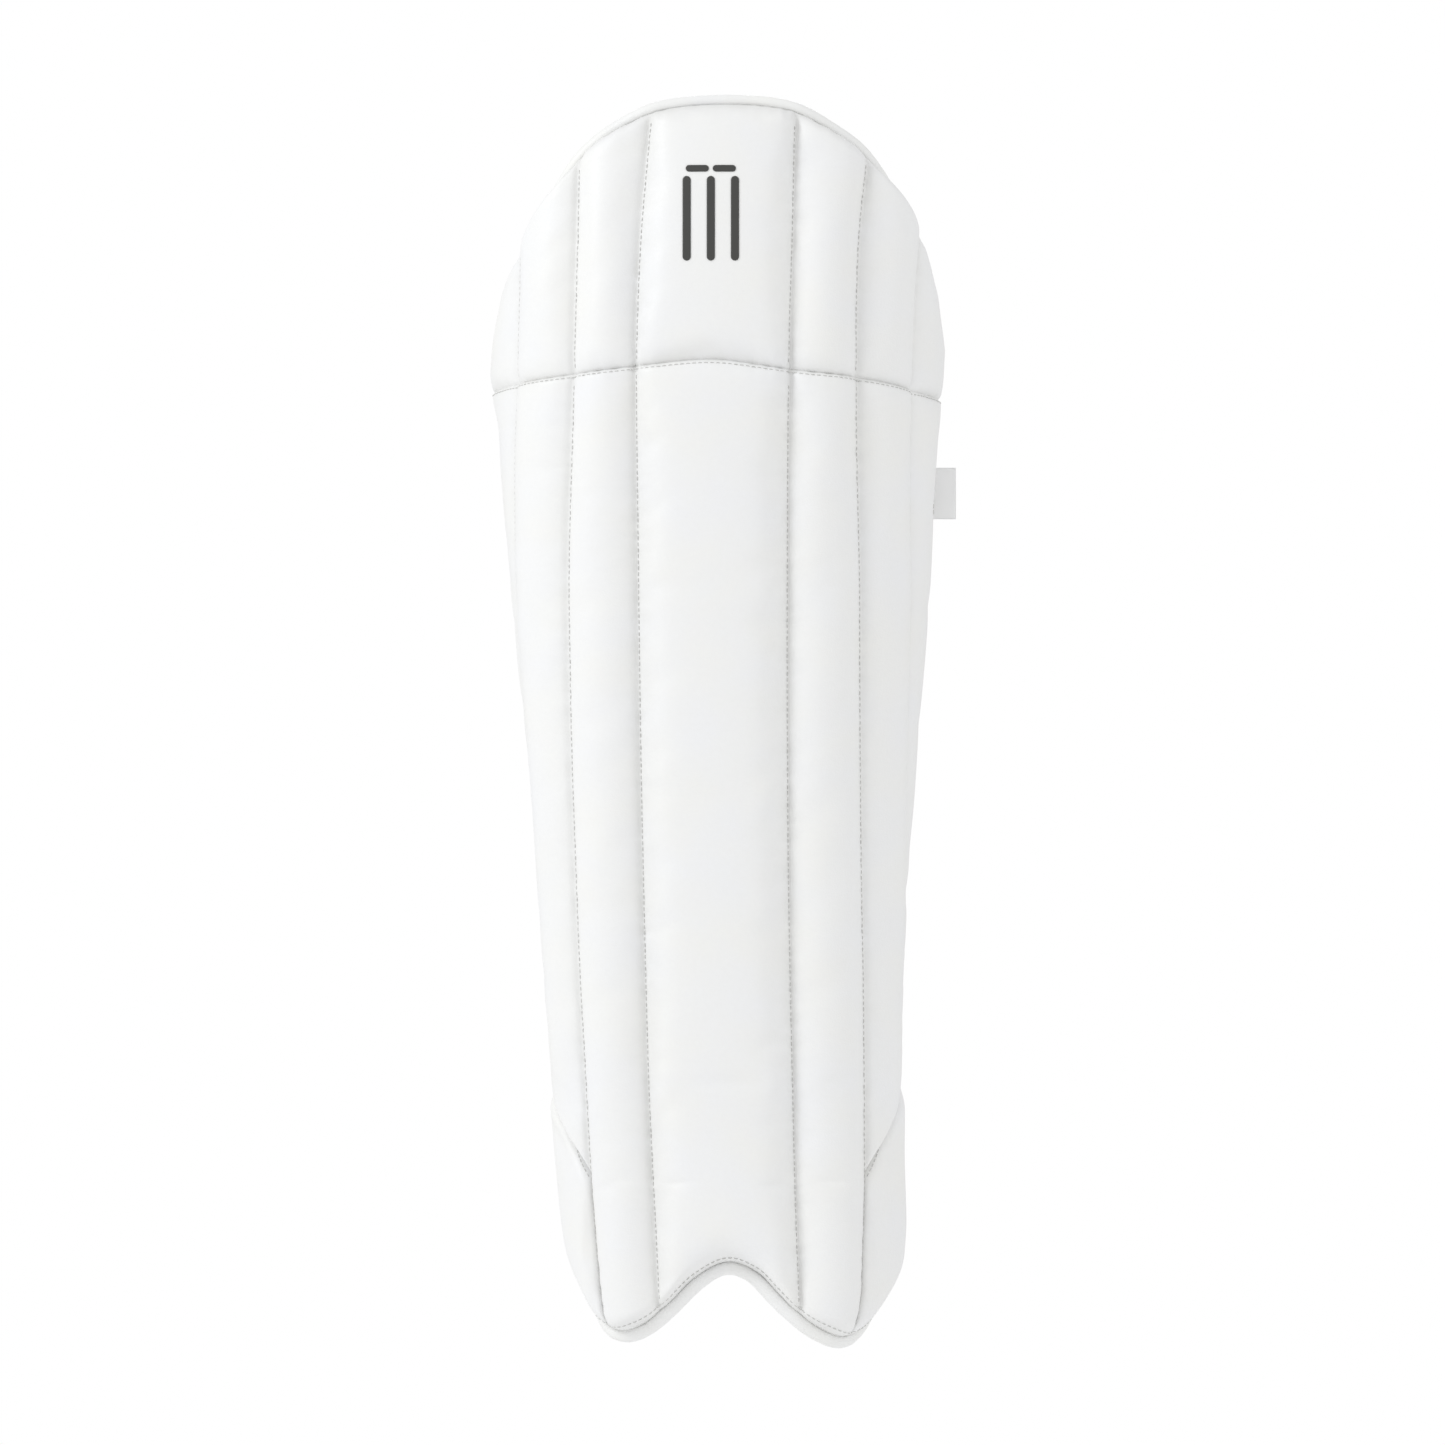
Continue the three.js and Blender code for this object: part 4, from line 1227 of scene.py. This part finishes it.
def instep_guard():
    """A leather patch behind the instep notch, with a stitched upper edge."""
    t = np.linspace(*GUARD_SPAN, 60)
    bottom, top = HEM(t) + GUARD_LOW, HEM(t) + GUARD_HIGH
    rows = bottom + np.linspace(0, 1, 10)[:, None] * (top - bottom)
    vertices = place(t, rows, GUARD_DEPTH)
    patch = new_object("instep_guard_patch", vertices, grid_faces(*rows.shape)[:, ::-1], LEATHER,
                       sheet_uv(t, rows))
    set_crease_shade(patch, np.zeros(rows.size))
    thicken(patch, GUARD_THICKNESS)
    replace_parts(patch, "instep_guard")
    hang(patch)
    points = place(t, top - 2, GUARD_DEPTH)
    outward = unit(place(t, top - 2, GUARD_DEPTH - 1) - points)
    hang(stitches("guard_stitches", [(points, outward)]))


BESIDE_SEAM = -1.6
ABOVE_HEM = 1.0


def facing_details(shin, ankles, knee):
    """Stitching and print on the finished facings."""
    lower, upper = Surface(shin, *ankles), Surface(knee)

    def base(groove):
        return ankle_seam(groove) if groove in (1, RIBS - 1) else HEM(groove)

    seam = edge_line(lower, SEAM, 0.08, RIBS - 0.08, BESIDE_SEAM)
    hang(stitches("shin_stitches", [*groove_lines(lower, base, SEAM, 4), seam]))
    slants = [edge_line(lower, ankle_seam, start, end, BESIDE_SEAM) for start, end in
              ((0.15, ANKLE_RIBS - 0.05), (RIBS - ANKLE_RIBS + 0.05, RIBS - 0.15))]
    hang(stitches("ankle_stitches", slants))
    hem = edge_line(lower, HEM, 0.1, RIBS - 0.1, ABOVE_HEM)
    hang(stitches("hem_stitches", [hem]))
    hang_on_knee(stitches("knee_stitches", groove_lines(upper, SEAM, DOME, 3)))
    hang_on_knee(emblem(upper))


# ---- Putting it together ----

# The camera looks straight at the pad's front, at VIEW_X and VIEW_Z on it, and takes in VIEW_WIDTH metres.
VIEW_X, VIEW_Z = 1.3, 324.7
VIEW_DISTANCE, VIEW_WIDTH = 8.0, 0.7565
SENSOR = 36

FLOOR_LEVEL = -0.3
AIM = Vector((0, 0, 0.33))
DAYLIGHT = (0.97, 0.985, 1.0)
ROOM_LIGHT, BACKDROP = 0.725, 1.0
# Each light's place, its size in metres and its power in watts.
LIGHTS = {
    "key_light": ((-2.2, -1.3, 1.8), 1.2, 28),
    "fill_light": ((2.1, -1.3, 1.3), 1.6, 8),
    "back_light": ((0, 2.8, 1.2), 1.0, 12),
}


def floor():
    bpy.ops.mesh.primitive_plane_add(size=6, location=(0, 0.5, FLOOR_LEVEL))
    plane = bpy.context.object
    plane.name = "floor"
    look = Look("floor", 0.9, "Object")
    look.colour(look.spread(look.noise(60, 2), 0, 1), (0.93,) * 3, (0.95,) * 3)
    plane.data.materials.append(look.material)


def room():
    """Even light from all round, with a brighter backdrop where the camera sees past the pad."""
    world = bpy.data.worlds.new("world")
    bpy.context.scene.world = world
    nodes = Nodes(world, "Background")
    nodes.set("Color", (1, 1, 1))
    level = {"Value": nodes.node("LightPath", {}, "Is Camera Ray"), "To Min": ROOM_LIGHT, "To Max": BACKDROP}
    nodes.set("Strength", nodes.node("MapRange", level, "Result"))


def lights():
    for name, (location, size, power) in LIGHTS.items():
        data = bpy.data.lights.new(name, "AREA")
        data.size, data.energy, data.color = size, power, DAYLIGHT
        light = add_object(name, data)
        light.location = location
        light.rotation_euler = (AIM - Vector(location)).to_track_quat("-Z", "Y").to_euler()


def camera():
    data = bpy.data.cameras.new("camera")
    data.sensor_width = SENSOR
    data.lens = SENSOR * VIEW_DISTANCE / VIEW_WIDTH
    data.clip_end = 50
    viewer = add_object("camera", data)
    viewer.location = (in_frame(VIEW_X, 0), -VIEW_DISTANCE, in_frame(VIEW_Z))
    viewer.rotation_euler = (math.pi / 2, 0, 0)
    bpy.context.scene.camera = viewer
    bpy.context.scene.view_settings.view_transform = "Standard"


def build():
    shin = shin_skin()
    ankles = [ankle_skin("inner", 0, ANKLE_RIBS), ankle_skin("outer", RIBS - ANKLE_RIBS, RIBS)]
    knee = knee_skin()
    facing_details(shin, ankles, knee)
    for skin in (shin, *ankles):
        hang(thicken(skin, FACING))
    hang_on_knee(thicken(knee, FACING))
    hang(lining("shin", HEM, SEAM, (LINING_TUCK, OVERLAP)))
    hang_on_knee(lining("knee", SEAM, DOME, (OVERLAP, LINING_TUCK)))
    hang(hem_binding())
    hang_on_knee(dome_binding())
    rolls()
    instep_guard()
    side_label()
    for name, level in STRAP_LEVELS.items():
        add_strap(name, level)
    fillings()


build()
floor()
room()
lights()
camera()
